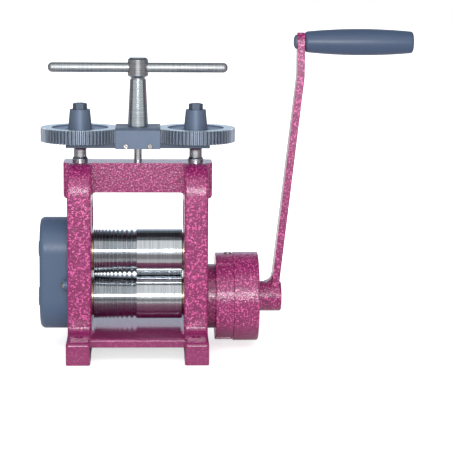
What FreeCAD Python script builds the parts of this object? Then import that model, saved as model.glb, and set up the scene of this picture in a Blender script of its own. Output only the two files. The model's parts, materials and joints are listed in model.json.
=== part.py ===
import FreeCAD, Part
import math
import os

# Hand-cranked jewellers rolling mill with half-grooved rollers.
# Millimetres. X runs along the rollers with the crank at +X, the operator stands at -Y, Z is up.
# The origin is on the bench, midway between the four feet.

V = FreeCAD.Vector

# Rollers
roller_length = 90.0
roller_radius = 23.0
roller_gap = 0.5
roller_lift = 5.0
lower_axis_z = 50.5
journal_radius = 11.0
groove_count = 11
groove_widest = 5.0
groove_narrowest = 2.2
grooved_width = 43.2
groove_margin = 1.0
edge_break = 0.6

# Clearances
running_fit = 0.04
sliding_fit = 0.05
face_gap = 0.3
seat_gap = 0.05

# Frame casting
leg_thickness = 23.8
leg_half_depth = 45.5
head_half_depth = 16.2
frame_top_z = 190.0
yoke_height = 30.0
head_height = 40.0
ear_reach = 4.7
ear_height = 36.0
ear_round = 4.0
leg_round = 2.5
yoke_round = 4.0
foot_height = 22.5
foot_half_depth = 93.5
foot_round = 4.0
foot_cove = 6.0
foot_relief = 3.0
foot_pad_length = 34.0
web_thickness = 8.5
web_half_depth = 76.0
web_cove = 5.0
foot_hole_radius = 4.5
foot_hole_y = 66.0

# Bearings
block_half_depth = 25.0
block_below_axis = 22.5
block_split = 1.0
bush_wall = 3.0
washer_thickness = 1.2
washer_radius = 19.5
spring_radius = 4.0
spring_wall = 1.0
spring_pocket_depth = 10.0
spring_offset = 18.5

# Pressure screws and their nuts
screw_radius = 6.4
screw_pitch = 2.0
screw_collar_radius = 8.9
screw_collar_height = 0.6
screw_collar_flare = 2.4
screw_stub_radius = 4.0
nut_body_radius = 10.0
nut_spigot_radius = 7.7
nut_spigot_rise = 4.6
nut_crown_radius = 6.9
nut_crown_height = 2.0
nut_shoulder = 4.0
nut_flange_radius = 13.0
nut_flange_height = 5.0
cap_nut_flats = 12.5
cap_nut_height = 6.4
cap_nut_crown = 1.2

# Carriage that carries the screw gears
carriage_rise = 14.9
plate_thickness = 5.4
plate_half_depth = 16.0
plate_overhang = 14.0
plate_corner = 1.5
housing_half_width = 22.5
housing_half_depth = 24.5
housing_top = 1.0
housing_bevel_depth = 3.4
housing_bevel_height = 2.2
housing_screw_x = 12.0
housing_screw_radius = 1.5
housing_screw_head = 2.5
housing_screw_length = 6.0

# Screw gears and pinion
screw_gear_teeth = 62
pinion_teeth = 32
screw_gear_face = 13.8
screw_gear_backlash = 0.14
dish_radius = 28.5
dish_depth = 1.7
hub_base_radius = 12.1
hub_top_radius = 10.2
hub_height = 18.2

# Handle for the screws
column_base_radius = 10.3
column_neck_radius = 8.0
column_length = 47.1
neck_groove = 1.7
neck_groove_depth = 0.9
t_head_radius = 10.3
t_head_height = 20.0
t_head_chamfer = 2.0
column_spigot_radius = 6.0
t_bar_radius = 5.0
t_bar_length = 181.0
t_bar_end_round = 2.0
spindle_radius = 3.9
spindle_depth = 18.0
spindle_grip = 36.0

# Coupling gears between the rollers
coupling_teeth = 13
coupling_face = 18.0
coupling_backlash = 0.3
coupling_bore = 9.0
coupling_hub_radius = 13.5
coupling_standoff = 3.5
key_width = 5.0
key_height = 5.0
key_length = 14.0
ring_thickness = 1.3
ring_radius = 11.0
ring_groove = 0.8
shaft_tail_radius = 6.0

# Cover over the coupling gears
cover_radius = 32.5
cover_depth = 28.7
cover_wall = 3.0
cover_round = 5.0
cover_headroom = 3.0
cover_boss_radius = 9.5
cover_boss_rise = 2.0
plug_radius = 8.0
lug_radius = 5.5
lug_thickness = 4.0
lug_reach = 5.5
lug_z_above_axis = 19.0
cover_screw_radius = 2.0
cover_screw_head = 4.0
cover_screw_dome = 2.6
cover_screw_length = 14.0

# Epicyclic gearbox, five turns of the crank to one of the roller
gearbox_radius = 45.5
gearbox_body_length = 18.2
gearbox_body_inset = 0.8
gearbox_boss_radius = 33.0
gearbox_boss_length = 8.7
gearbox_wall = 3.0
gearbox_cover_length = 25.4
gearbox_cover_round = 1.5
gearbox_cavity_radius = 39.6
sun_teeth = 12
planet_teeth = 18
planet_count = 3
planet_module = 1.5
planet_face = 11.5
planet_backlash = 0.12
planet_addendum = 1.2
planet_pin_radius = 5.0
carrier_radius = 34.0
carrier_thickness = 10.0
carrier_hub_radius = 15.0
carrier_hub_length = 10.0
drive_shaft_radius = 10.0
drive_shaft_reach = 14.0
input_shaft_radius = 8.0
input_pilot_radius = 5.0
input_pilot_length = 7.0
input_bush_wall = 3.0
gearbox_bolt_radius = 1.5
gearbox_bolt_head = 2.6
gearbox_bolt_head_height = 3.0
gearbox_bolt_bite = 9.0
gearbox_bolt_count = 6
gearbox_bolt_margin = 0.5
gearbox_bolt_start = 15.0
mount_bolt_radius = 2.0
mount_bolt_head = 3.4
mount_bolt_head_height = 3.6
mount_bolt_circle = 28.8
mount_bolt_bite = 10.0
oil_plug_radius = 2.5
oil_plug_head = 4.0
oil_plug_rise = 1.0
oil_plug_seat = 1.6
oil_plug_floor = 1.0
oil_plug_setback = 5.6
oil_way_radius = 1.2
upper_step = (18.0, 58.0, 1.8)
lower_step = (-40.0, -70.0, 1.5)

# Crank
crank_radius = 260.8
hub_radius = 15.4
hub_length = 23.8
hub_chamfer = 1.2
arm_thickness = 7.4
arm_width_low = 24.0
arm_width_high = 19.0
arm_offset = 16.0
arm_lean = 25.0
arm_bend_height = 34.0
arm_bend_radius = 90.0
arm_root_cove = 7.0
eye_radius = 9.5
hub_screw_radius = 3.0
hub_screw_head = 5.0
hub_screw_head_height = 4.0
hub_screw_bite = 12.0
handle_pin_radius = 5.0
rivet_radius = 7.5
rivet_height = 3.4
pin_head_radius = 8.0
pin_head_height = 4.0
grip_length = 109.5
grip_end_radius = 10.7
grip_belly_radius = 13.35
grip_tip_radius = 11.1
grip_clearance = 0.1
grip_round = 3.0

# Sizes that follow from the ones above
upper_axis_z = lower_axis_z + 2 * roller_radius + roller_gap
axis_distance = upper_axis_z - lower_axis_z
roller_end_x = roller_length / 2
leg_inner_x = roller_end_x + washer_thickness + face_gap
leg_outer_x = leg_inner_x + leg_thickness
screw_x = (leg_inner_x + leg_outer_x) / 2
window_floor_z = lower_axis_z - block_below_axis
window_top_z = frame_top_z - head_height
block_above_axis = (axis_distance - block_split) / 2
upper_block_top_z = upper_axis_z + block_below_axis
block_depth = block_half_depth - sliding_fit
bush_radius = journal_radius + bush_wall
bush_bore = journal_radius + running_fit
pocket_radius = spring_radius + face_gap
plate_bottom_z = frame_top_z + carriage_rise
plate_top_z = plate_bottom_z + plate_thickness
screw_gear_bottom_z = plate_top_z + face_gap
screw_gear_top_z = screw_gear_bottom_z + screw_gear_face
screw_module = 2 * screw_x / (screw_gear_teeth + pinion_teeth)
screw_gear_tip = screw_module * (screw_gear_teeth / 2 + 1)
pinion_tip = screw_module * (pinion_teeth / 2 + 1)
hub_top_z = screw_gear_top_z + hub_height
housing_roof_z = screw_gear_top_z + face_gap
housing_top_z = housing_roof_z + housing_top
column_bottom_z = housing_top_z + face_gap
column_neck_z = column_bottom_z + column_length
t_head_bottom_z = column_neck_z + neck_groove
t_head_top_z = t_head_bottom_z + t_head_height
t_bar_z = t_head_bottom_z + t_head_height / 2
coupling_module = axis_distance / coupling_teeth
coupling_inner_x = leg_outer_x + coupling_standoff
coupling_outer_x = coupling_inner_x + coupling_face
cover_outer_x = leg_outer_x + cover_depth
cover_upper_z = upper_axis_z + cover_headroom
gearbox_face_x = leg_outer_x + gearbox_boss_length
gearbox_split_x = gearbox_face_x + gearbox_body_length
gearbox_end_x = gearbox_split_x + gearbox_cover_length
carrier_x = gearbox_face_x + gearbox_wall + 2 * face_gap
planet_x = carrier_x + carrier_thickness + 2 * face_gap
planet_end_x = planet_x + planet_face
ring_gear_x = planet_x
ring_gear_end_x = planet_end_x + face_gap
cover_floor_x = ring_gear_end_x + face_gap
planet_orbit = planet_module * (sun_teeth + planet_teeth) / 2
annulus_teeth = sun_teeth + 2 * planet_teeth
gearbox_bolt_circle = gearbox_cavity_radius + gearbox_bolt_radius + gearbox_bolt_margin
hub_x = gearbox_end_x + face_gap
hub_end_x = hub_x + hub_length
handle_z = lower_axis_z + crank_radius
arm_low_x = hub_x + arm_offset
arm_high_x = arm_low_x + arm_lean
eye_face_x = arm_high_x + arm_thickness / 2
grip_x = eye_face_x + face_gap
grip_end_x = grip_x + grip_length


def cylinder_x(x_from, x_to, radius, y=0.0, z=0.0):
    """Round bar along X."""
    return Part.makeCylinder(radius, x_to - x_from, V(x_from, y, z), V(1, 0, 0))


def cylinder_z(z_from, z_to, radius, x=0.0, y=0.0):
    """Round bar along Z."""
    return Part.makeCylinder(radius, z_to - z_from, V(x, y, z_from), V(0, 0, 1))


def box(x_from, x_to, y_from, y_to, z_from, z_to):
    """Straight block between two corners."""
    return Part.makeBox(x_to - x_from, y_to - y_from, z_to - z_from, V(x_from, y_from, z_from))


def turned_x(outline, axis_z):
    """Solid turned about an X line at height axis_z from (x, radius) points."""
    points = [V(x, 0, axis_z + r) for x, r in outline]
    points.append(V(outline[-1][0], 0, axis_z))
    points.append(V(outline[0][0], 0, axis_z))
    points.append(points[0])
    return Part.Face(Part.makePolygon(points)).revolve(V(0, 0, axis_z), V(1, 0, 0), 360)


def turned_z(outline, x=0.0):
    """Solid turned about a vertical line from (radius, z) points."""
    points = [V(x + r, 0, z) for r, z in outline]
    points.append(V(x, 0, outline[-1][1]))
    points.append(V(x, 0, outline[0][1]))
    points.append(points[0])
    return Part.Face(Part.makePolygon(points)).revolve(V(x, 0, 0), V(0, 0, 1), 360)


def arc_through(start, middle, end):
    """Edge of a circle through three points."""
    return Part.Arc(start, middle, end).toShape()


def line(start, end):
    """Straight edge."""
    return Part.LineSegment(start, end).toShape()


def mirrored_x(shape):
    """The same piece on the other side of the mill."""
    return shape.mirror(V(0, 0, 0), V(1, 0, 0))


def mirrored_y(shape):
    """The same piece at the back."""
    return shape.mirror(V(0, 0, 0), V(0, 1, 0))


def gear_outline(teeth, module, addendum, dedendum, thinning, first_angle, flank_steps):
    """Points of an involute gear with a tooth centred on first_angle (radians)."""
    pressure = math.radians(20)
    pitch = module * teeth / 2
    base = pitch * math.cos(pressure)
    tip = pitch + addendum
    root = pitch - dedendum
    start = max(root, base)
    radii = [start + (tip - start) * i / flank_steps for i in range(flank_steps + 1)]
    if root < base:
        radii.insert(0, root)

    def half_angle(radius):
        rolled = math.acos(min(1.0, base / max(radius, base)))
        involute = math.tan(rolled) - rolled
        half_tooth = math.pi / (2 * teeth) - thinning / (2 * pitch)
        return half_tooth + math.tan(pressure) - pressure - involute

    points = []
    for tooth in range(teeth):
        centre = first_angle + 2 * math.pi * tooth / teeth
        flank = [(r, half_angle(r)) for r in radii]
        for radius, half in flank:
            points.append((radius * math.cos(centre - half), radius * math.sin(centre - half)))
        for radius, half in reversed(flank):
            points.append((radius * math.cos(centre + half), radius * math.sin(centre + half)))
    return points


def gear_along_x(points, x_from, x_to, y=0.0, z=0.0):
    """Gear blank with its teeth, lying along X."""
    corners = [V(x_from, y + u, z + v) for u, v in points]
    corners.append(corners[0])
    return Part.Face(Part.makePolygon(corners)).extrude(V(x_to - x_from, 0, 0))


def gear_along_z(points, z_from, z_to, x=0.0):
    """Gear blank with its teeth, standing along Z."""
    corners = [V(x + u, v, z_from) for u, v in points]
    corners.append(corners[0])
    return Part.Face(Part.makePolygon(corners)).extrude(V(0, 0, z_to - z_from))


def leg():
    """Right-hand side of the frame: foot, upright and curved shoulder."""
    shoulder = leg_half_depth - head_half_depth
    shoulder_z = frame_top_z - shoulder
    x = leg_inner_x
    bend = math.sqrt(0.5)
    right = [
        V(x, foot_half_depth, 0),
        V(x, foot_half_depth, foot_height - foot_round),
        V(x, foot_half_depth - foot_round * (1 - bend), foot_height - foot_round * (1 - bend)),
        V(x, foot_half_depth - foot_round, foot_height),
        V(x, leg_half_depth + foot_cove, foot_height),
        V(x, leg_half_depth + foot_cove * (1 - bend), foot_height + foot_cove * (1 - bend)),
        V(x, leg_half_depth, foot_height + foot_cove),
        V(x, leg_half_depth, shoulder_z),
        V(x, head_half_depth + shoulder * bend, shoulder_z + shoulder * bend),
        V(x, head_half_depth, frame_top_z),
    ]
    left = [V(p.x, -p.y, p.z) for p in right]
    edges = []
    for side in (right, left):
        edges.append(line(side[0], side[1]))
        edges.append(arc_through(side[1], side[2], side[3]))
        edges.append(line(side[3], side[4]))
        edges.append(arc_through(side[4], side[5], side[6]))
        edges.append(line(side[6], side[7]))
        edges.append(arc_through(side[7], side[8], side[9]))
    edges.append(line(right[9], left[9]))
    edges.append(line(right[0], left[0]))
    wire = Part.Wire(Part.__sortEdges__(edges))
    upright = Part.Face(wire).extrude(V(leg_thickness, 0, 0))
    rim = []
    for edge in upright.Edges:
        flat = edge.BoundBox.XLength < 1e-6
        if flat and edge.BoundBox.ZMax > 1e-6:
            rim.append(edge)
    return upright.makeFillet(leg_round, rim)


def ear():
    """Boss of the head that stands out past the leg."""
    block = box(leg_inner_x, leg_outer_x + ear_reach, -head_half_depth, head_half_depth,
                frame_top_z - ear_height, frame_top_z)
    outer = leg_outer_x + ear_reach
    corners = []
    for edge in block.Edges:
        on_outer_face = edge.BoundBox.XMin > outer - 1e-6
        if on_outer_face and edge.BoundBox.ZMin < frame_top_z - 1e-6:
            corners.append(edge)
    return block.makeFillet(ear_round, corners)


def yoke_corner():
    """Concave fillet between the yoke and the inner face of the right leg."""
    bottom = frame_top_z - yoke_height
    block = box(leg_inner_x - yoke_round, leg_inner_x, -head_half_depth, head_half_depth,
                bottom - yoke_round, bottom)
    hollow = Part.makeCylinder(yoke_round, 2 * head_half_depth + 2,
                               V(leg_inner_x - yoke_round, -head_half_depth - 1, bottom - yoke_round),
                               V(0, 1, 0))
    return block.cut(hollow)


def web_corner():
    """Concave fillet between the top of the base web and the inner face of the right leg."""
    block = box(leg_inner_x - web_cove, leg_inner_x, -leg_half_depth, leg_half_depth,
                foot_height, foot_height + web_cove)
    hollow = Part.makeCylinder(web_cove, 2 * leg_half_depth + 2,
                               V(leg_inner_x - web_cove, -leg_half_depth - 1, foot_height + web_cove),
                               V(0, 1, 0))
    return block.cut(hollow)


def bearing_window(side):
    """Opening of one leg for its two bearing blocks."""
    x_from = leg_inner_x - 1 if side > 0 else -leg_outer_x - 1
    opening = box(x_from, x_from + leg_thickness + 2, -block_half_depth, block_half_depth,
                  window_floor_z, window_top_z)
    return opening


def frame_casting():
    """Legs, yoke, ears and base web in one casting, machined for the other pieces."""
    right = leg().fuse([ear(), yoke_corner(), web_corner()])
    yoke = box(-leg_inner_x - leg_round, leg_inner_x + leg_round, -head_half_depth, head_half_depth,
               frame_top_z - yoke_height, frame_top_z)
    web = box(-leg_inner_x - leg_round, leg_inner_x + leg_round, -web_half_depth, web_half_depth,
              foot_height - web_thickness, foot_height)
    long_edges = [e for e in web.Edges
                  if e.BoundBox.XLength > leg_inner_x and e.BoundBox.ZMin > foot_height - 1e-6]
    web = web.makeFillet(leg_round, long_edges)
    casting = right.fuse([mirrored_x(right), yoke, web]).removeSplitter()
    cuts = []
    for side in (-1, 1):
        x = side * screw_x
        cuts.append(bearing_window(side))
        cuts.append(cylinder_z(window_top_z - 1, frame_top_z - nut_shoulder, nut_body_radius, x))
        cuts.append(cylinder_z(window_top_z, frame_top_z + 1, nut_spigot_radius, x))
        pad_y = foot_half_depth - foot_pad_length
        cuts.append(box(x - leg_thickness, x + leg_thickness, -pad_y, pad_y, -1, foot_relief))
        for y in (-foot_hole_y, foot_hole_y):
            cuts.append(cylinder_z(-1, foot_height + 1, foot_hole_radius, x, y))
    cuts.append(cylinder_z(frame_top_z - spindle_depth - roller_lift, frame_top_z + 1,
                           spindle_radius + running_fit))
    cuts += cover_screw_shanks()
    cuts += mount_bolt_shanks()
    return casting.cut(cuts)


def groove_widths():
    """Width of each V groove from the outer end of the roller to the plain part."""
    step = (groove_widest - groove_narrowest) / (groove_count - 1)
    return [groove_narrowest + step * i for i in range(groove_count)]


def roller_face():
    """(x, radius) points of the working face, grooved on the left and plain on the right."""
    widths = groove_widths()
    land = (grooved_width - sum(widths)) / groove_count
    points = [(-roller_end_x, roller_radius - edge_break), (-roller_end_x + edge_break, roller_radius)]
    x = -roller_end_x + groove_margin
    for width in widths:
        points.append((x, roller_radius))
        points.append((x + width / 2, roller_radius - width / 2))
        points.append((x + width, roller_radius))
        x += width + land
    points.append((roller_end_x - edge_break, roller_radius))
    points.append((roller_end_x, roller_radius - edge_break))
    return points


def coupling_shaft_points(end_x):
    """Left-hand shaft of a roller, from its outer end to the journal."""
    return [(-end_x, coupling_bore), (-leg_outer_x, coupling_bore), (-leg_outer_x, journal_radius),
            (-roller_end_x, journal_radius)]


def ring_groove_cut(axis_z):
    """Groove for the retaining ring of a coupling gear."""
    x_from = -coupling_outer_x - ring_thickness
    outer = cylinder_x(x_from, -coupling_outer_x, coupling_bore + 1, 0, axis_z)
    core = cylinder_x(x_from, -coupling_outer_x, coupling_bore - ring_groove, 0, axis_z)
    return outer.cut(core)


def gear_key(axis_z):
    """Key between a roller shaft and its coupling gear."""
    middle = -(coupling_inner_x + coupling_outer_x) / 2
    return box(middle - key_length / 2, middle + key_length / 2, -key_width / 2, key_width / 2,
               axis_z + coupling_bore - key_height / 2, axis_z + coupling_bore + key_height / 2)


def upper_roller():
    """Upper roller with both journals and the shaft of its coupling gear."""
    shaft_end = coupling_outer_x + 2 * ring_thickness
    outline = coupling_shaft_points(shaft_end) + roller_face()
    outline += [(roller_end_x, journal_radius), (leg_outer_x - edge_break, journal_radius),
                (leg_outer_x, journal_radius - edge_break)]
    return turned_x(outline, upper_axis_z).cut([ring_groove_cut(upper_axis_z), gear_key(upper_axis_z)])


def lower_roller():
    """Lower roller, driven from the gearbox through its right-hand shaft."""
    tail_end = cover_outer_x + cover_boss_rise
    shaft_end = coupling_outer_x + 2 * ring_thickness
    outline = [(-tail_end, shaft_tail_radius - edge_break), (-tail_end + edge_break, shaft_tail_radius),
               (-shaft_end, shaft_tail_radius)]
    outline += coupling_shaft_points(shaft_end) + roller_face()
    outline += [(roller_end_x, journal_radius), (leg_outer_x, journal_radius),
                (leg_outer_x, drive_shaft_radius), (leg_outer_x + drive_shaft_reach, drive_shaft_radius)]
    return turned_x(outline, lower_axis_z).cut([ring_groove_cut(lower_axis_z), gear_key(lower_axis_z)])


def coupling_gear(axis_z):
    """One of the two deep-toothed gears that make the rollers turn together."""
    outline = gear_outline(coupling_teeth, coupling_module, coupling_module, 1.25 * coupling_module,
                           coupling_backlash, math.pi / 2, 3)
    teeth = gear_along_x(outline, -coupling_outer_x, -coupling_inner_x, 0, axis_z)
    hub = cylinder_x(-coupling_inner_x, -leg_outer_x - face_gap, coupling_hub_radius, 0, axis_z)
    bore = cylinder_x(-coupling_outer_x - 1, -leg_outer_x, coupling_bore, 0, axis_z)
    return teeth.fuse(hub).cut([bore, gear_key(axis_z)])


def retaining_ring(axis_z):
    """Open ring that holds a coupling gear on its shaft."""
    x_from = -coupling_outer_x - ring_thickness
    ring = cylinder_x(x_from, -coupling_outer_x, ring_radius, 0, axis_z)
    bore = cylinder_x(x_from - 1, -coupling_outer_x + 1, coupling_bore - ring_groove, 0, axis_z)
    mouth = box(x_from - 1, -coupling_outer_x + 1, -key_width / 2, key_width / 2,
                axis_z - ring_radius - 1, axis_z)
    return ring.cut([bore, mouth])


def bearing_block(side, axis_z, below, above, pocket_faces_up):
    """Steel block for one journal, with pockets for its two lift springs."""
    x_from = leg_inner_x if side > 0 else -leg_outer_x
    block = box(x_from, x_from + leg_thickness, -block_depth, block_depth, axis_z - below, axis_z + above)
    cuts = [cylinder_x(x_from - 1, x_from + leg_thickness + 1, bush_radius, 0, axis_z)]
    for y in (-spring_offset, spring_offset):
        if pocket_faces_up:
            cuts.append(cylinder_z(axis_z + above - spring_pocket_depth, axis_z + above + 1, pocket_radius,
                                   side * screw_x, y))
        else:
            cuts.append(cylinder_z(axis_z - below - 1, axis_z - below + spring_pocket_depth, pocket_radius,
                                   side * screw_x, y))
    return block.cut(cuts)


def both_sides(make_one):
    """Group of one piece on each side of the mill."""
    return Part.makeCompound([make_one(side) for side in (-1, 1)])


def lower_block(side):
    return bearing_block(side, lower_axis_z, block_below_axis, block_above_axis, True)


def upper_block(side):
    return bearing_block(side, upper_axis_z, block_above_axis, block_below_axis, False)


def bush(side, axis_z):
    """Bronze bush pressed into a bearing block."""
    x_from = leg_inner_x if side > 0 else -leg_outer_x
    sleeve = cylinder_x(x_from, x_from + leg_thickness, bush_radius, 0, axis_z)
    return sleeve.cut(cylinder_x(x_from - 1, x_from + leg_thickness + 1, bush_bore, 0, axis_z))


def thrust_washer(side, axis_z):
    """Bronze washer between the end of a roller and its bearing block."""
    x_from = leg_inner_x - washer_thickness if side > 0 else -leg_inner_x
    washer = cylinder_x(x_from, x_from + washer_thickness, washer_radius, 0, axis_z)
    return washer.cut(cylinder_x(x_from - 1, x_from + washer_thickness + 1, bush_bore, 0, axis_z))


def lift_springs():
    """Four springs in the block pockets that push the upper roller up."""
    bottom = lower_axis_z + block_above_axis - spring_pocket_depth
    top = upper_axis_z - block_above_axis + spring_pocket_depth
    springs = []
    for side in (-1, 1):
        for y in (-spring_offset, spring_offset):
            body = cylinder_z(bottom, top, spring_radius, side * screw_x, y)
            springs.append(body.cut(cylinder_z(bottom - 1, top + 1, spring_radius - spring_wall,
                                               side * screw_x, y)))
    return Part.makeCompound(springs)


def screw_nut(side):
    """Stepped steel nut of one pressure screw, pushed up against a shoulder in the head."""
    outline = [(nut_flange_radius, window_top_z - nut_flange_height), (nut_flange_radius, window_top_z),
               (nut_body_radius, window_top_z), (nut_body_radius, frame_top_z - nut_shoulder),
               (nut_spigot_radius, frame_top_z - nut_shoulder),
               (nut_spigot_radius, frame_top_z + nut_spigot_rise - nut_crown_height),
               (nut_crown_radius, frame_top_z + nut_spigot_rise)]
    nut = turned_z(outline, side * screw_x)
    return nut.cut(cylinder_z(window_top_z - nut_flange_height - 1, frame_top_z + nut_spigot_rise + 1,
                              screw_radius + sliding_fit, side * screw_x))


def pressure_screw(side):
    """Screw that presses on the upper bearing block, with a flared collar under the plate."""
    collar_top = plate_bottom_z - face_gap
    collar_bottom = collar_top - screw_collar_height
    outline = [(screw_radius - edge_break, upper_block_top_z + seat_gap),
               (screw_radius, upper_block_top_z + seat_gap + edge_break),
               (screw_radius, collar_bottom - screw_collar_flare), (screw_collar_radius, collar_bottom),
               (screw_collar_radius, collar_top), (screw_radius, collar_top), (screw_radius, hub_top_z),
               (screw_stub_radius, hub_top_z),
               (screw_stub_radius, hub_top_z + cap_nut_height - 2 * cap_nut_crown)]
    return turned_z(outline, side * screw_x)


def screw_gear(side):
    """Dished gear with a tapered hub on top of one pressure screw."""
    x = side * screw_x
    half_tooth = math.pi / screw_gear_teeth
    outline = gear_outline(screw_gear_teeth, screw_module, screw_module, 1.25 * screw_module,
                           screw_gear_backlash, half_tooth, 1)
    rim = gear_along_z(outline, screw_gear_bottom_z, screw_gear_top_z, x)
    floor_z = screw_gear_top_z - dish_depth
    dish = cylinder_z(floor_z, screw_gear_top_z + 1, dish_radius, x)
    hub = Part.makeCone(hub_base_radius, hub_top_radius, hub_top_z - floor_z, V(x, 0, floor_z), V(0, 0, 1))
    bore = cylinder_z(screw_gear_bottom_z - 1, hub_top_z + 1, screw_radius, x)
    return rim.cut(dish).fuse(hub).cut(bore)


def cap_nut(side):
    """Hexagon cap nut that holds a screw gear on its screw."""
    x = side * screw_x
    corner = cap_nut_flats / math.sqrt(3)
    points = []
    for i in range(7):
        angle = math.radians(60 * i)
        points.append(V(x + corner * math.cos(angle), corner * math.sin(angle), hub_top_z))
    hexagon = Part.Face(Part.makePolygon(points)).extrude(V(0, 0, cap_nut_height))
    top = hub_top_z + cap_nut_height
    crown = turned_z([(corner, hub_top_z), (corner, top - cap_nut_crown / 2),
                      (corner - 2 * cap_nut_crown, top)], x)
    bore = cylinder_z(hub_top_z - 1, top - 2 * cap_nut_crown, screw_stub_radius, x)
    return hexagon.common(crown).cut(bore)


def tie_plate():
    """Flat plate that carries both screw gears and the pinion."""
    end_x = screw_x + plate_overhang
    plate = box(-end_x, end_x, -plate_half_depth, plate_half_depth, plate_bottom_z, plate_top_z)
    corners = [e for e in plate.Edges if e.BoundBox.ZLength > plate_thickness / 2]
    plate = plate.makeFillet(plate_corner, corners)
    holes = [cylinder_z(plate_bottom_z - 1, plate_top_z + 1, screw_radius + sliding_fit, side * screw_x)
             for side in (-1, 1)]
    holes.append(cylinder_z(plate_bottom_z - 1, plate_top_z + 1, spindle_radius + running_fit))
    return plate.cut(holes + housing_screw_shanks())


def housing_screw_shanks():
    """Shanks of the small screws that hold the pinion housing to the plate."""
    z = (plate_bottom_z + plate_top_z) / 2
    length = housing_half_depth - plate_half_depth + housing_screw_length
    shanks = []
    for x in (-housing_screw_x, housing_screw_x):
        front = Part.makeCylinder(housing_screw_radius, length, V(x, -housing_half_depth, z), V(0, 1, 0))
        shanks += [front, mirrored_y(front)]
    return shanks


def housing_screws():
    """Small cheese-head screws in the front and back of the pinion housing."""
    z = (plate_bottom_z + plate_top_z) / 2
    head_height = housing_screw_radius
    screws = []
    for shank in housing_screw_shanks():
        outward = 1 if shank.BoundBox.YMax > 0 else -1
        x = (shank.BoundBox.XMin + shank.BoundBox.XMax) / 2
        head = Part.makeCylinder(housing_screw_head, head_height, V(x, outward * housing_half_depth, z),
                                 V(0, outward, 0))
        screws.append(head.fuse(shank))
    return Part.makeCompound(screws)


def pinion_housing():
    """Inverted U over the pinion, open where the screw gears run in from both sides."""
    block = box(-housing_half_width, housing_half_width, -housing_half_depth, housing_half_depth,
                plate_bottom_z, housing_top_z)
    cuts = [box(-housing_half_width - 1, housing_half_width + 1, -plate_half_depth, plate_half_depth,
                plate_bottom_z - 1, plate_top_z)]
    cuts.append(cylinder_z(plate_top_z - 1, housing_roof_z, pinion_tip + face_gap))
    for side in (-1, 1):
        cuts.append(cylinder_z(plate_top_z, housing_roof_z, screw_gear_tip + face_gap, side * screw_x))
    cuts.append(cylinder_z(housing_roof_z - 1, housing_top_z + 1, column_spigot_radius + running_fit))
    bevel = [V(-housing_half_width - 1, -housing_half_depth, housing_top_z - housing_bevel_height),
             V(-housing_half_width - 1, -housing_half_depth, housing_top_z),
             V(-housing_half_width - 1, -housing_half_depth + housing_bevel_depth, housing_top_z)]
    corner = Part.Face(Part.makePolygon(bevel + [bevel[0]])).extrude(V(2 * housing_half_width + 2, 0, 0))
    return block.cut(cuts + [corner, mirrored_y(corner)] + housing_screw_shanks())


def pinion():
    """Pinion that turns both screw gears."""
    outline = gear_outline(pinion_teeth, screw_module, screw_module, 1.25 * screw_module,
                           screw_gear_backlash, 0, 1)
    blank = gear_along_z(outline, screw_gear_bottom_z, screw_gear_top_z)
    return blank.cut(cylinder_z(screw_gear_bottom_z - 1, screw_gear_top_z + 1, spindle_radius))


def centre_spindle():
    """Rod through the pinion and the plate, guided in the top of the frame."""
    bottom = frame_top_z - spindle_depth
    top = column_bottom_z + spindle_grip
    outline = [(spindle_radius - edge_break, bottom), (spindle_radius, bottom + edge_break),
               (spindle_radius, top)]
    return turned_z(outline)


def t_column():
    """Tapered column of the handle with its cross-bored head."""
    groove_radius = column_neck_radius - neck_groove_depth
    outline = [(column_spigot_radius, screw_gear_top_z), (column_spigot_radius, column_bottom_z),
               (column_base_radius, column_bottom_z), (column_neck_radius, column_neck_z),
               (groove_radius, column_neck_z), (groove_radius, t_head_bottom_z),
               (t_head_radius - t_head_chamfer, t_head_bottom_z),
               (t_head_radius, t_head_bottom_z + t_head_chamfer),
               (t_head_radius, t_head_top_z - t_head_chamfer),
               (t_head_radius - t_head_chamfer, t_head_top_z)]
    column = turned_z(outline)
    bore = cylinder_z(screw_gear_top_z - 1, column_bottom_z + spindle_grip, spindle_radius)
    cross = cylinder_x(-t_head_radius - 1, t_head_radius + 1, t_bar_radius, 0, t_bar_z)
    return column.cut([bore, cross])


def t_bar():
    """Sliding bar of the handle with rounded ends."""
    bar = cylinder_x(-t_bar_length / 2, t_bar_length / 2, t_bar_radius, 0, t_bar_z)
    rims = [e for e in bar.Edges if e.BoundBox.XLength < 1e-6]
    return bar.makeFillet(t_bar_end_round, rims)


def obround_x(x_from, x_to, radius):
    """Long-hole shape round both roller axes, along X."""
    parts = [cylinder_x(x_from, x_to, radius, 0, z) for z in (lower_axis_z, cover_upper_z)]
    middle = box(x_from, x_to, -radius, radius, lower_axis_z, cover_upper_z)
    return middle.fuse(parts).removeSplitter()


def cover_screw_shanks():
    """Shanks of the two screws that hold the coupling cover to the left leg."""
    y = cover_radius + lug_reach
    z = lower_axis_z + lug_z_above_axis
    outer = -leg_outer_x - lug_thickness
    return [cylinder_x(outer, outer + cover_screw_length, cover_screw_radius, side * y, z)
            for side in (-1, 1)]


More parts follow.
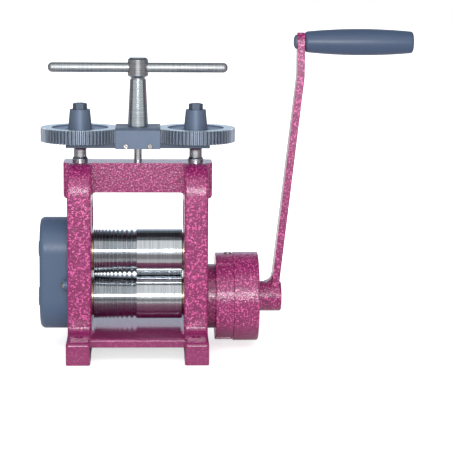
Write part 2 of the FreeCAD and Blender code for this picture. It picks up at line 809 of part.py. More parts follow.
def coupling_cover():
    """Deep pressed cover over the coupling gears, with two screw lugs."""
    shell = obround_x(-cover_outer_x, -leg_outer_x, cover_radius)
    rim = [e for e in shell.Edges if e.BoundBox.XMax < -cover_outer_x + 1e-6]
    shell = shell.makeFillet(cover_round, rim)
    y = cover_radius + lug_reach
    z = lower_axis_z + lug_z_above_axis
    lugs = []
    for side in (-1, 1):
        lugs.append(cylinder_x(-leg_outer_x - lug_thickness, -leg_outer_x, lug_radius, side * y, z))
        lugs.append(box(-leg_outer_x - lug_thickness, -leg_outer_x, min(0, side * y), max(0, side * y),
                        z - lug_radius, z + lug_radius))
    boss = cylinder_x(-cover_outer_x - cover_boss_rise, -cover_outer_x, cover_boss_radius, 0, lower_axis_z)
    cavity = obround_x(-cover_outer_x + cover_wall, -leg_outer_x + 1, cover_radius - cover_wall)
    tail = cylinder_x(-cover_outer_x - cover_boss_rise - 1, -cover_outer_x + cover_wall + 1,
                      shaft_tail_radius + face_gap, 0, lower_axis_z)
    plug_hole = cylinder_x(-cover_outer_x - 1, -cover_outer_x + cover_wall + 1,
                           plug_radius - cover_boss_rise, 0, cover_upper_z)
    return shell.fuse(lugs + [boss]).cut([cavity, tail, plug_hole] + cover_screw_shanks())


def cover_plug():
    """Plug over the upper shaft end of the coupling cover."""
    outline = [(-cover_outer_x - cover_boss_rise, plug_radius - edge_break),
               (-cover_outer_x - cover_boss_rise + edge_break, plug_radius),
               (-cover_outer_x, plug_radius), (-cover_outer_x, plug_radius - cover_boss_rise),
               (-cover_outer_x + cover_wall, plug_radius - cover_boss_rise)]
    return turned_x(outline, cover_upper_z)


def domed_head(radius, height, base, direction):
    """Low round screw head."""
    sphere_radius = (radius * radius + height * height) / (2 * height)
    centre = base + direction * (height - sphere_radius)
    ball = Part.makeSphere(sphere_radius, centre)
    return ball.common(Part.makeCylinder(radius, height, base, direction))


def cover_screws():
    """Round-head screws of the coupling cover."""
    screws = []
    for shank in cover_screw_shanks():
        y = (shank.BoundBox.YMin + shank.BoundBox.YMax) / 2
        z = lower_axis_z + lug_z_above_axis
        seat = V(-leg_outer_x - lug_thickness, y, z)
        head = domed_head(cover_screw_head, cover_screw_dome, seat, V(-1, 0, 0))
        screws.append(head.fuse(shank))
    return Part.makeCompound(screws)


def mount_bolt_places():
    """Angles of the bolts that hold the gearbox to the right leg, all outside the bearing window."""
    return [0.0, math.pi, -math.pi / 2]


def mount_bolt_shanks():
    """Shanks of the gearbox mounting bolts."""
    head_seat = gearbox_face_x + gearbox_wall - mount_bolt_head_height
    shanks = []
    for angle in mount_bolt_places():
        y = mount_bolt_circle * math.cos(angle)
        z = lower_axis_z + mount_bolt_circle * math.sin(angle)
        shanks.append(cylinder_x(leg_outer_x - mount_bolt_bite, head_seat, mount_bolt_radius, y, z))
    return shanks


def mount_bolts():
    """Cap screws inside the gearbox that hold it to the leg."""
    head_seat = gearbox_face_x + gearbox_wall - mount_bolt_head_height
    bolts = []
    for angle, shank in zip(mount_bolt_places(), mount_bolt_shanks()):
        y = mount_bolt_circle * math.cos(angle)
        z = lower_axis_z + mount_bolt_circle * math.sin(angle)
        head = cylinder_x(head_seat, head_seat + mount_bolt_head_height, mount_bolt_head, y, z)
        bolts.append(head.fuse(shank))
    return Part.makeCompound(bolts)


def mount_bolt_seats():
    """Counterbores for the heads of the mounting bolts."""
    head_seat = gearbox_face_x + gearbox_wall - mount_bolt_head_height
    seats = []
    for angle in mount_bolt_places():
        y = mount_bolt_circle * math.cos(angle)
        z = lower_axis_z + mount_bolt_circle * math.sin(angle)
        seats.append(cylinder_x(head_seat, head_seat + mount_bolt_head_height + 1, mount_bolt_head, y, z))
    return seats


def gearbox_bolt_places():
    """(y, z) of the long screws that hold the gearbox cover."""
    places = []
    for i in range(gearbox_bolt_count):
        angle = math.radians(gearbox_bolt_start) + 2 * math.pi * i / gearbox_bolt_count
        y = gearbox_bolt_circle * math.cos(angle)
        places.append((y, lower_axis_z + gearbox_bolt_circle * math.sin(angle)))
    return places


def gearbox_bolt_shanks():
    """Shanks of the gearbox cover screws."""
    return [cylinder_x(gearbox_split_x - gearbox_bolt_bite, gearbox_end_x - gearbox_bolt_head_height,
                       gearbox_bolt_radius, y, z) for y, z in gearbox_bolt_places()]


def gearbox_screws():
    """Cap screws sunk in the end face of the gearbox cover."""
    screws = []
    for shank, (y, z) in zip(gearbox_bolt_shanks(), gearbox_bolt_places()):
        head = cylinder_x(gearbox_end_x - gearbox_bolt_head_height, gearbox_end_x, gearbox_bolt_head, y, z)
        screws.append(head.fuse(shank))
    return Part.makeCompound(screws)


def drum_step(low_degrees, high_degrees, depth):
    """Sliver cut from the front of the drum, fading out at the low angle and deepest at the high one."""
    radius = gearbox_radius - gearbox_body_inset
    low = math.radians(low_degrees)
    high = math.radians(high_degrees)
    turn = 1 if high > low else -1
    start = low - turn * math.radians(3)
    shift = depth / math.sin(abs(high - low))
    away = low - turn * math.pi / 2
    x = gearbox_face_x - 1
    points = []
    for angle, reach in ((start, 0.7), (high, 0.7), (high, 1.2), (start, 1.2)):
        y = -reach * radius * math.cos(angle)
        points.append(V(x, y, lower_axis_z + reach * radius * math.sin(angle)))
    wedge = Part.Face(Part.makePolygon(points + [points[0]])).extrude(V(gearbox_body_length + 1, 0, 0))
    kept = cylinder_x(x - 1, gearbox_split_x + 1, radius, -shift * math.cos(away),
                      lower_axis_z + shift * math.sin(away))
    return wedge.cut(kept)


def gearbox_body():
    """Gearbox body with the boss that bolts to the right leg."""
    drum = cylinder_x(gearbox_face_x, gearbox_split_x, gearbox_radius - gearbox_body_inset, 0, lower_axis_z)
    boss = cylinder_x(leg_outer_x, gearbox_face_x, gearbox_boss_radius, 0, lower_axis_z)
    cavity = cylinder_x(gearbox_face_x + gearbox_wall, gearbox_split_x + 1, gearbox_cavity_radius,
                        0, lower_axis_z)
    bore = cylinder_x(leg_outer_x - 1, gearbox_split_x, carrier_hub_radius + face_gap, 0, lower_axis_z)
    oil_way = cylinder_z(lower_axis_z + gearbox_cavity_radius - 1, lower_axis_z + gearbox_radius,
                         oil_way_radius, gearbox_split_x - oil_plug_setback)
    steps = [drum_step(*upper_step), drum_step(*lower_step)]
    body = drum.fuse(boss).cut([cavity, bore, oil_way] + steps + mount_bolt_seats())
    return body.cut(mount_bolt_shanks() + gearbox_bolt_shanks() + [oil_plug_shape()])


def oil_plug_shape():
    """Slotted plug that closes the oil hole on top of the gearbox."""
    x = gearbox_split_x - oil_plug_setback
    top = lower_axis_z + gearbox_radius - gearbox_body_inset
    foot = lower_axis_z + gearbox_cavity_radius + oil_plug_floor
    shank = cylinder_z(foot, top - oil_plug_seat, oil_plug_radius, x)
    head = cylinder_z(top - oil_plug_seat, top + oil_plug_rise, oil_plug_head, x)
    return head.fuse(shank)


def gearbox_cover():
    """Cover with the seat of the ring gear and the bearing of the crank shaft."""
    drum = cylinder_x(gearbox_split_x, gearbox_end_x, gearbox_radius, 0, lower_axis_z)
    rim = [e for e in drum.Edges if e.BoundBox.XMin > gearbox_end_x - 1e-6]
    drum = drum.makeFillet(gearbox_cover_round, rim)
    cavity = cylinder_x(gearbox_split_x - 1, cover_floor_x, gearbox_cavity_radius, 0, lower_axis_z)
    bore = cylinder_x(cover_floor_x - 1, gearbox_end_x + 1, input_shaft_radius + input_bush_wall,
                      0, lower_axis_z)
    head_seat = gearbox_end_x - gearbox_bolt_head_height
    heads = [cylinder_x(head_seat, gearbox_end_x + 1, gearbox_bolt_head, y, z)
             for y, z in gearbox_bolt_places()]
    return drum.cut([cavity, bore] + heads + gearbox_bolt_shanks())


def input_bush():
    """Bronze bush of the crank shaft."""
    sleeve = cylinder_x(cover_floor_x, gearbox_end_x, input_shaft_radius + input_bush_wall, 0, lower_axis_z)
    return sleeve.cut(cylinder_x(cover_floor_x - 1, gearbox_end_x + 1, input_shaft_radius + running_fit,
                                 0, lower_axis_z))


def ring_gear():
    """Internal gear fixed in the gearbox cover."""
    blank = cylinder_x(ring_gear_x, ring_gear_end_x, gearbox_cavity_radius, 0, lower_axis_z)
    spaces = gear_outline(annulus_teeth, planet_module, 1.25 * planet_module, planet_addendum,
                          -planet_backlash, math.pi / annulus_teeth, 1)
    return blank.cut(gear_along_x(spaces, ring_gear_x - 1, ring_gear_end_x + 1, 0, lower_axis_z))


def planet_centre(index):
    """(y, z) of one planet gear."""
    angle = math.pi / 2 + 2 * math.pi * index / planet_count
    return planet_orbit * math.cos(angle), lower_axis_z + planet_orbit * math.sin(angle)


def planet_gear(index):
    """One of the planet gears that run between the sun teeth and the ring gear."""
    y, z = planet_centre(index)
    outline = gear_outline(planet_teeth, planet_module, planet_addendum, 1.25 * planet_module,
                           planet_backlash, 0, 2)
    blank = gear_along_x(outline, planet_x, planet_end_x, y, z)
    return blank.cut(cylinder_x(planet_x - 1, planet_end_x + 1, planet_pin_radius + running_fit, y, z))


def planet_carrier():
    """Disc on the roller shaft that holds the planet pins."""
    outline = [(carrier_x - carrier_hub_length, carrier_hub_radius), (carrier_x, carrier_hub_radius),
               (carrier_x, carrier_radius), (carrier_x + carrier_thickness, carrier_radius)]
    disc = turned_x(outline, lower_axis_z)
    shaft = cylinder_x(leg_outer_x, leg_outer_x + drive_shaft_reach, drive_shaft_radius, 0, lower_axis_z)
    pilot = cylinder_x(leg_outer_x, carrier_x + carrier_thickness + 1, input_pilot_radius + running_fit,
                       0, lower_axis_z)
    return disc.cut([shaft, pilot] + pin_solids())


def pin_solids():
    """Planet pins pressed through the carrier."""
    pins = []
    for index in range(planet_count):
        y, z = planet_centre(index)
        pins.append(cylinder_x(carrier_x, planet_end_x, planet_pin_radius, y, z))
    return pins


def input_shaft():
    """Crank shaft with the sun teeth cut on its inner end."""
    outline = gear_outline(sun_teeth, planet_module, planet_addendum, 1.25 * planet_module,
                           planet_backlash, 0, 2)
    sun = gear_along_x(outline, planet_x, planet_end_x, 0, lower_axis_z)
    pilot = cylinder_x(planet_x - input_pilot_length, planet_x, input_pilot_radius, 0, lower_axis_z)
    neck = cylinder_x(planet_end_x, cover_floor_x, input_pilot_radius, 0, lower_axis_z)
    seat = hub_end_x - hub_screw_head_height
    shaft = cylinder_x(cover_floor_x, seat, input_shaft_radius, 0, lower_axis_z)
    thread = cylinder_x(seat - hub_screw_bite, hub_end_x, hub_screw_radius, 0, lower_axis_z)
    return sun.fuse([pilot, neck, shaft]).cut(thread)


def hub_screw():
    """Screw in the end of the crank shaft that holds the crank."""
    seat = hub_end_x - hub_screw_head_height
    shank = cylinder_x(seat - hub_screw_bite, seat, hub_screw_radius, 0, lower_axis_z)
    return shank.fuse(cylinder_x(seat, hub_end_x - edge_break, hub_screw_head, 0, lower_axis_z))


def arm_side_outline():
    """Bent strip of the crank arm as seen from the operator's side."""
    bend_z = handle_z - arm_bend_height
    run = bend_z - lower_axis_z
    slope = math.atan2(arm_lean, run)
    half = arm_thickness / 2
    tangent = arm_bend_radius * math.tan(slope / 2)
    x_bend = arm_high_x
    low = V(arm_low_x, 0, lower_axis_z)
    start = V(x_bend - tangent * math.sin(slope), 0, bend_z - tangent * math.cos(slope))
    middle_angle = slope / 2
    centre = V(x_bend - arm_bend_radius, 0, bend_z + tangent)
    wires = []
    for offset in (-half, half):
        radius = arm_bend_radius + offset
        across = V(math.cos(slope) * offset, 0, -math.sin(slope) * offset)
        end = V(x_bend + offset, 0, bend_z + tangent)
        first = start + across
        middle = centre + V(radius * math.cos(middle_angle), 0, -radius * math.sin(middle_angle))
        top = V(x_bend + offset, 0, handle_z + eye_radius)
        wires.append([line(low + across, first), arc_through(first, middle, end), line(end, top)])
    low_left = low + V(-math.cos(slope) * half, 0, math.sin(slope) * half)
    low_right = low + V(math.cos(slope) * half, 0, -math.sin(slope) * half)
    top_left = V(x_bend - half, 0, handle_z + eye_radius)
    top_right = V(x_bend + half, 0, handle_z + eye_radius)
    edges = wires[0] + wires[1] + [line(low_left, low_right), line(top_left, top_right)]
    return Part.Face(Part.Wire(Part.__sortEdges__(edges)))


def arm_front_outline():
    """Tapered outline of the arm as seen from the crank side, with its round eye."""
    wide = arm_width_low / 2
    narrow = arm_width_high / 2
    x = hub_x - 10
    points = [V(x, -wide, lower_axis_z), V(x, wide, lower_axis_z), V(x, narrow, handle_z),
              V(x, -narrow, handle_z)]
    reach = arm_lean + hub_length + 40
    blade = Part.Face(Part.makePolygon(points + [points[0]])).extrude(V(reach, 0, 0))
    eye = cylinder_x(x, x + reach, eye_radius, 0, handle_z)
    return blade.fuse(eye)


def root_cove():
    """Web that eases the inner side of the arm into the hub."""
    slope = math.atan2(arm_lean, handle_z - arm_bend_height - lower_axis_z)
    half = arm_thickness / 2
    top = lower_axis_z + hub_radius
    x_face = arm_low_x + math.tan(slope) * hub_radius - half
    points = [V(x_face + half, 0, top - half), V(x_face - arm_root_cove, 0, top - half),
              V(x_face - arm_root_cove, 0, top), V(x_face + 0.1, 0, top + arm_root_cove),
              V(x_face + half, 0, top + arm_root_cove)]
    cove_middle = V(x_face - 0.3 * arm_root_cove, 0, top + 0.3 * arm_root_cove)
    edges = [line(points[0], points[1]), line(points[1], points[2]),
             arc_through(points[2], cove_middle, points[3]), line(points[3], points[4]),
             line(points[4], points[0])]
    face = Part.Face(Part.Wire(edges))
    face.translate(V(0, -arm_width_low / 4, 0))
    return face.extrude(V(0, arm_width_low / 2, 0))


def crank_arm():
    """Hub and bent arm of the crank."""
    strip = arm_side_outline()
    strip.translate(V(0, -arm_width_low, 0))
    arm = strip.extrude(V(0, 2 * arm_width_low, 0)).common(arm_front_outline())
    hub = turned_x([(hub_x, hub_radius - hub_chamfer), (hub_x + hub_chamfer, hub_radius),
                    (hub_end_x - hub_chamfer, hub_radius), (hub_end_x, hub_radius - hub_chamfer)],
                   lower_axis_z)
    seat = hub_end_x - hub_screw_head_height
    bore = cylinder_x(hub_x - 1, seat, input_shaft_radius, 0, lower_axis_z)
    recess = cylinder_x(seat - 1, hub_end_x + 1, hub_screw_head, 0, lower_axis_z)
    eye_bore = cylinder_x(arm_low_x, eye_face_x + 1, handle_pin_radius, 0, handle_z)
    return hub.fuse([arm, root_cove()]).cut([bore, recess, eye_bore])


def handle_pin():
    """Pin riveted in the eye of the crank, on which the grip turns."""
    eye_back = arm_high_x - arm_thickness / 2
    head_seat = grip_end_x - pin_head_height
    outline = [(eye_back - rivet_height, rivet_radius * 0.55),
               (eye_back - rivet_height * 0.6, rivet_radius * 0.9),
               (eye_back, rivet_radius), (eye_back, handle_pin_radius),
               (head_seat, handle_pin_radius), (head_seat, pin_head_radius),
               (grip_end_x - edge_break, pin_head_radius)]
    return turned_x(outline, handle_z)


def handle_grip():
    """Barrel grip that turns freely on its pin."""
    left = grip_x
    right = grip_end_x
    start = V(left + grip_round, 0, handle_z + grip_end_radius)
    belly = V((left + right) / 2, 0, handle_z + grip_belly_radius)
    finish = V(right - grip_round, 0, handle_z + grip_tip_radius)
    bend = grip_round * (1 - math.sqrt(0.5))
    edges = [
        line(V(left, 0, handle_z), V(left, 0, handle_z + grip_end_radius - grip_round)),
        arc_through(V(left, 0, handle_z + grip_end_radius - grip_round),
                    V(left + bend, 0, handle_z + grip_end_radius - bend), start),
        arc_through(start, belly, finish),
        arc_through(finish, V(right - bend, 0, handle_z + grip_tip_radius - bend),
                    V(right, 0, handle_z + grip_tip_radius - grip_round)),
        line(V(right, 0, handle_z + grip_tip_radius - grip_round), V(right, 0, handle_z)),
        line(V(right, 0, handle_z), V(left, 0, handle_z)),
    ]
    barrel = Part.Face(Part.Wire(edges)).revolve(V(0, 0, handle_z), V(1, 0, 0), 360)
    bore = cylinder_x(left - 1, right + 1, handle_pin_radius + grip_clearance, 0, handle_z)
    recess = cylinder_x(right - pin_head_height - face_gap, right + 1,
                        pin_head_radius + grip_clearance, 0, handle_z)
    return barrel.cut([bore, recess])


def all_nodes():
    """Every piece under the name of its file."""
    nodes = {
        "frame_casting": frame_casting(),
        "lower_roller": lower_roller(),
        "upper_roller": upper_roller(),
        "lower_coupling_gear": coupling_gear(lower_axis_z),
        "upper_coupling_gear": coupling_gear(upper_axis_z),
        "lower_gear_key": gear_key(lower_axis_z),
        "upper_gear_key": gear_key(upper_axis_z),
        "lower_retaining_ring": retaining_ring(lower_axis_z),
        "upper_retaining_ring": retaining_ring(upper_axis_z),
        "lower_bearing_blocks": both_sides(lower_block),
        "upper_bearing_blocks": both_sides(upper_block),
        "lower_bushes": both_sides(lambda side: bush(side, lower_axis_z)),
        "upper_bushes": both_sides(lambda side: bush(side, upper_axis_z)),
        "lower_thrust_washers": both_sides(lambda side: thrust_washer(side, lower_axis_z)),
        "upper_thrust_washers": both_sides(lambda side: thrust_washer(side, upper_axis_z)),
        "lift_springs": lift_springs(),
        "screw_nuts": both_sides(screw_nut),
        "tie_plate": tie_plate(),
        "pinion_housing": pinion_housing(),
        "housing_screws": housing_screws(),
        "pinion": pinion(),
        "centre_spindle": centre_spindle(),
        "t_column": t_column(),
        "t_bar": t_bar(),
        "coupling_cover": coupling_cover(),
        "cover_plug": cover_plug(),
        "cover_screws": cover_screws(),
        "gearbox_body": gearbox_body(),
        "gearbox_mount_bolts": mount_bolts(),
        "gearbox_cover": gearbox_cover(),
        "gearbox_cover_screws": gearbox_screws(),
        "oil_plug": oil_plug_shape(),
        "ring_gear": ring_gear(),
        "planet_carrier": planet_carrier(),
        "planet_pins": Part.makeCompound(pin_solids()),
        "input_shaft": input_shaft(),
        "input_bush": input_bush(),
        "crank_arm": crank_arm(),
        "hub_screw": hub_screw(),
        "handle_pin": handle_pin(),
        "handle_grip": handle_grip(),
    }
    for side, name in ((-1, "left"), (1, "right")):
        nodes[name + "_pressure_screw"] = pressure_screw(side)
        nodes[name + "_screw_gear"] = screw_gear(side)
        nodes[name + "_cap_nut"] = cap_nut(side)
    for index in range(planet_count):
        nodes["planet_gear_%d" % (index + 1)] = planet_gear(index)
    return nodes


def main():
    os.makedirs("parts", exist_ok=True)
    turns = roller_lift / screw_pitch * screw_gear_teeth / pinion_teeth
    print("Turns of the T-handle for the full lift: %.3f" % turns)
    for name, shape in all_nodes().items():
        if not shape.isValid():
            print("not valid:", name)
        print("%-24s %2d solid(s) %12.1f mm3" % (name, len(shape.Solids), shape.Volume))
        shape.exportStep("parts/" + name + ".step")


main()
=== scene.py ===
"""Looks of the hand-cranked rolling mill: finishes, small parts, floor, lamps and camera."""

import json
import math

import bpy
from mathutils import Matrix, Vector


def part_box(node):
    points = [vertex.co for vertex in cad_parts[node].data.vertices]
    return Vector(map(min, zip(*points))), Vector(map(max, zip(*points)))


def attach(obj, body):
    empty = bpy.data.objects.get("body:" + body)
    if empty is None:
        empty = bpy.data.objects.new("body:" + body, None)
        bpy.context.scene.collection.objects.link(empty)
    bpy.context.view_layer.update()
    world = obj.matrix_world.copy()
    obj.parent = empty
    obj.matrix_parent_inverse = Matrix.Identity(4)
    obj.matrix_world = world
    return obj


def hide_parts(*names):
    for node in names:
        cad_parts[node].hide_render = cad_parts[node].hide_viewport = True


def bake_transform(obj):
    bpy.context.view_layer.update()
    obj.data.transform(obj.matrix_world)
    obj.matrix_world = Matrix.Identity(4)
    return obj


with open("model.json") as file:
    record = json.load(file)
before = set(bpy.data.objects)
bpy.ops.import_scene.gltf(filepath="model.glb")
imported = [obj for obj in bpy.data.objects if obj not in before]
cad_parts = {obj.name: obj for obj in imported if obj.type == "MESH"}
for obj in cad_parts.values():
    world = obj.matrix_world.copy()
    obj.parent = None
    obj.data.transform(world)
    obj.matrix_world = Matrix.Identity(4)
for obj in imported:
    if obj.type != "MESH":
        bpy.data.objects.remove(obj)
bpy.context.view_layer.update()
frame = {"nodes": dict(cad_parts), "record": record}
NODES = frame["nodes"]
SLOT_OF = {entry["node"]: entry["material_slot"] for entry in frame["record"]["subparts"]}

bl_info = {
    "name": "Rolling mill looks",
    "version": (1, 0, 0),
    "blender": (4, 5, 0),
    "location": "View3D > Sidebar > Rolling mill",
    "description": "Finishes, small parts, floor, lamps and camera for a hand-cranked rolling mill",
    "category": "Object",
}

MM = 0.001

# Places of the main axes
SCREW_X = 58.4 * MM
LOWER_AXIS_Z = 50.5 * MM
GEAR_TOP_Z = 224.4 * MM

# Length of the rounded ends of the T-bar, and the angles at which they are drawn
T_BAR_DOME = 4.5 * MM
T_BAR_ANGLES = range(18, 91, 12)

# Pressure screws; a ring of points at each end of the plain neck keeps its shading straight
SCREW_RADIUS = 6.4 * MM
COLLAR_RADIUS = 8.9 * MM
COLLAR_HEIGHT = 0.6 * MM
COLLAR_GAP = 0.3 * MM
FLARE_HEIGHT = 2.4 * MM
FLARE_ANGLES = range(0, 91, 15)
NECK_LOOP = 0.3 * MM
STUB_RADIUS = 4.0 * MM
THREAD_RUNOUT = 1.0 * MM

# Fasteners
COVER_SCREW_RADIUS = 2.0 * MM
COVER_SCREW_DOME = 2.6 * MM
COVER_SLOT_TURNS = (0.4, 1.9)
DOME_END = math.radians(86)
HOUSING_SCREW_X = 12.0 * MM
HOUSING_SCREW_RADIUS = 1.5 * MM
HOUSING_SCREW_HEAD_HEIGHT = 1.5 * MM
HOUSING_SLOT_TURNS = (0.5, 2.0)
GEARBOX_SCREW_CIRCLE = 41.6 * MM
GEARBOX_SCREW_START = math.radians(15)
GEARBOX_SCREW_COUNT = 6
GEARBOX_SCREW_RADIUS = 1.5 * MM
GEARBOX_SCREW_HEAD = 2.6 * MM
GEARBOX_SCREW_HEAD_HEIGHT = 3.0 * MM
HUB_SCREW_RADIUS = 3.0 * MM
HUB_SCREW_HEAD_HEIGHT = 3.4 * MM
OIL_PLUG_RADIUS = 2.5 * MM
OIL_PLUG_HEAD_HEIGHT = 2.6 * MM
OIL_PLUG_SLOT_TURN = 0.5

# Sides of the smallest turned pieces
SMALL_SIDES = 32

# Shares of a screw head that its socket takes, and lengths of the bars that cut the slots
SOCKET_RADIUS_SHARE = 0.55
SOCKET_DEPTH_SHARE = 0.6
SLOT_LENGTH_SHARE = 3
PLUG_SLOT_DEPTH = 1.6 * MM

# Lift springs
SPRING_RADIUS = 4.0 * MM
SPRING_OFFSET = 18.5 * MM

# Steps of a full turn of a winding, and the angle from which an edge is shaded sharp
WINDING_STEPS = 24
SHARP_ANGLE = math.radians(35)

# Half height of the thread's ridge, as a share of the pitch
THREAD_HALF_HEIGHT = 0.45

# Hammertone paint: heights between which it turns smooth, and what is left of the texture below them
PAINT_SETTLED_Z = (20 * MM, 32 * MM)
SETTLED_DIMPLES = 0.12
SETTLED_FLECKS = 0.25
FLECK_LIMITS = (0.525, 0.61)
FLECK_STRENGTH = 0.9
# Near-black painted shade that the frame's faces turned down take in place of the paint
UNDERSIDE_PAINTED_SHADE = (0.035, 0.037, 0.045)

# Screw gears: radii over which one finish turns into the next, and height below the top over which the
# painted highlight of the rim's top face fades in
GEAR_HUB_EDGE = (14 * MM, 16 * MM)
GEAR_DISH_EDGE = (28 * MM, 29 * MM)
GEAR_TOP_EDGE = (GEAR_TOP_Z - 0.3 * MM, GEAR_TOP_Z - 0.1 * MM)
# Pale blue-white of the painted highlight on the gears' rim top and edges, a painted reflection of the bright
# sheet behind
PAINTED_TOP_HIGHLIGHT = (0.80, 0.92, 0.97)

# Closeness of tool lines, across them and along them, per metre
ACROSS_LINES = 900.0
ALONG_LINES = 20.0

# Lowest and highest value that a noise mostly reaches
NOISE_REACH = (0.3, 0.7)

# Cosines of the turn at which a rounded edge starts and is full
EDGE_TURN = (0.985, 0.93)

# How bright the studio looks in the metal and in the paint's gloss
SIDE_GLOW = 0.17
BACK_GLOW = 0.92
FRONT_GLOW = 0.75
TABLE_GLOW = 0.3
FAR_GLOW = 0.9

# Floor, in metres: distances over which the shadow fades and over which the metal sees the mill's own shadow
FLOOR_SIZE = 12
FLOOR_WHITE = 0.92
SHADOW_EDGE = (0.25, 0.5)
SHADOW_LIFT = 0.66
NEAR_EDGE = (0.13, 0.22)

# Floor as the metal sees it: starts and sides of the bright strips ahead and behind
TABLE_TINT = (1, 0.95, 0.97)
AHEAD_START = (-1.05, -1.2)
AHEAD_SIDES = (1.6, 1.1)
BEHIND_START = (0.1, 0.3)
BEHIND_SIDES = (0.5, 0.35)

# Surround as the metal sees it, in parts of a direction
FRONT_EDGE = (0.20, 0.42)
FRONT_TOP = (0.1, 0.4)
FRONT_TOP_SHARE = 0.1
SHEET_SIDES = (0.45, 0.3)
SHEET_TOP = (0.85, 0.3)
SHEET_EDGE = (0.0, 0.2)
TINT_EDGE = (0.0, 0.6)
FRONT_TINT = (0.90, 0.97, 1.0)
BACK_TINT = (0.74, 0.84, 1.0)
WHITE = (1.0, 1.0, 1.0)

# Lamps and camera, in metres and degrees
SOFTBOX_PLACE = (-0.2, -1.35, 1.30)
SOFTBOX_TARGET = (0, 0, 0.14)
SOFTBOX_SIZE = (2.4, 1.8)
KEY_PLACE = (0.0, -2.05, 0.57)
KEY_TARGET = (0, 0, 0.10)
KEY_SIZE = (0.9, 0.32)
CAMERA_PLACE = (0.008983, -1.794745, 0.423496)
CAMERA_YAW, CAMERA_PITCH, CAMERA_ROLL = 2.5807, 9.4886, 0.4534
SENSOR_WIDTH = 36


class RollingMillColours(bpy.types.PropertyGroup):
    """Colours of the finishes."""
    paint: bpy.props.FloatVectorProperty(
        name="Paint", description="Body colour of the hammertone paint",
        subtype="COLOR", min=0, max=1, default=(0.29, 0.002, 0.12))
    paint_light: bpy.props.FloatVectorProperty(
        name="Paint speckle", description="Pale speckle in the hammertone paint",
        subtype="COLOR", min=0, max=1, default=(0.96, 0.14, 0.47))
    steel: bpy.props.FloatVectorProperty(
        name="Ground steel", description="Colour of the ground and polished steel",
        subtype="COLOR", min=0, max=1, default=(0.66, 0.69, 0.72))
    blued: bpy.props.FloatVectorProperty(
        name="Blued steel", description="Colour of the gears, plate and housing",
        subtype="COLOR", min=0, max=1, default=(0.165, 0.215, 0.31))
    gear_rim: bpy.props.FloatVectorProperty(
        name="Gear rim", description="Colour of the ground rims and teeth of the screw gears",
        subtype="COLOR", min=0, max=1, default=(0.36, 0.42, 0.52))
    enamel: bpy.props.FloatVectorProperty(
        name="Cover enamel", description="Colour of the side cover",
        subtype="COLOR", min=0, max=1, default=(0.092, 0.147, 0.25))
    grip: bpy.props.FloatVectorProperty(
        name="Grip", description="Colour of the crank grip",
        subtype="COLOR", min=0, max=1, default=(0.075, 0.115, 0.205))
    bronze: bpy.props.FloatVectorProperty(
        name="Bronze", description="Colour of the bushes, washers and nuts",
        subtype="COLOR", min=0, max=1, default=(0.70, 0.52, 0.33))
    plated: bpy.props.FloatVectorProperty(
        name="Plated screws", description="Colour of the small screws",
        subtype="COLOR", min=0, max=1, default=(0.78, 0.76, 0.68))


class RollingMillSizes(bpy.types.PropertyGroup):
    """Sizes of the small parts and of the paint's texture."""
    thread_pitch: bpy.props.FloatProperty(
        name="Thread pitch", description="Pitch of the pressure screws",
        unit="LENGTH", min=0.0005, max=0.006, default=0.002)
    thread_depth: bpy.props.FloatProperty(
        name="Thread depth", description="Depth of the pressure screws' thread",
        unit="LENGTH", min=0.0002, max=0.002, default=0.0009)
    slot_width: bpy.props.FloatProperty(
        name="Slot width", description="Width of a driver slot",
        unit="LENGTH", min=0.0003, max=0.003, default=0.001)
    slot_depth: bpy.props.FloatProperty(
        name="Slot depth", description="Depth of a driver slot",
        unit="LENGTH", min=0.0003, max=0.003, default=0.0012)
    spring_wire: bpy.props.FloatProperty(
        name="Spring wire", description="Wire radius of the lift springs",
        unit="LENGTH", min=0.0002, max=0.001, default=0.0005)
    spring_turns: bpy.props.IntProperty(
        name="Spring turns", description="Turns of each lift spring",
        min=3, max=30, default=9)
    speckle: bpy.props.FloatProperty(
        name="Speckle size", description="Distance between the dimples of the paint",
        unit="LENGTH", min=0.0005, max=0.01, default=0.0017)
    dimple: bpy.props.FloatProperty(
        name="Dimple depth", description="Depth of the dimples of the paint",
        unit="LENGTH", min=0.00001, max=0.001, default=0.00021)
    edge_round: bpy.props.FloatProperty(
        name="Edge rounding", description="Radius to which machined edges are broken",
        unit="LENGTH", min=0.0, max=0.002, default=0.0005)


class RollingMillStage(bpy.types.PropertyGroup):
    """Lamps and lens."""
    lens: bpy.props.FloatProperty(
        name="Lens", description="Focal length of the camera",
        unit="CAMERA", min=20, max=400, default=141.88)
    softbox_power: bpy.props.FloatProperty(
        name="Softbox power", description="Power of the large lamp above the camera",
        unit="POWER", min=1, max=500, default=10.2)
    key_power: bpy.props.FloatProperty(
        name="Key power", description="Power of the small bright lamp over the camera",
        unit="POWER", min=0, max=500, default=13.5)
    fill: bpy.props.FloatProperty(
        name="Fill", description="Strength of the even light from all round",
        min=0, max=2, default=0.52)


def colours():
    return bpy.context.scene.mill_colours


def sizes():
    return bpy.context.scene.mill_sizes


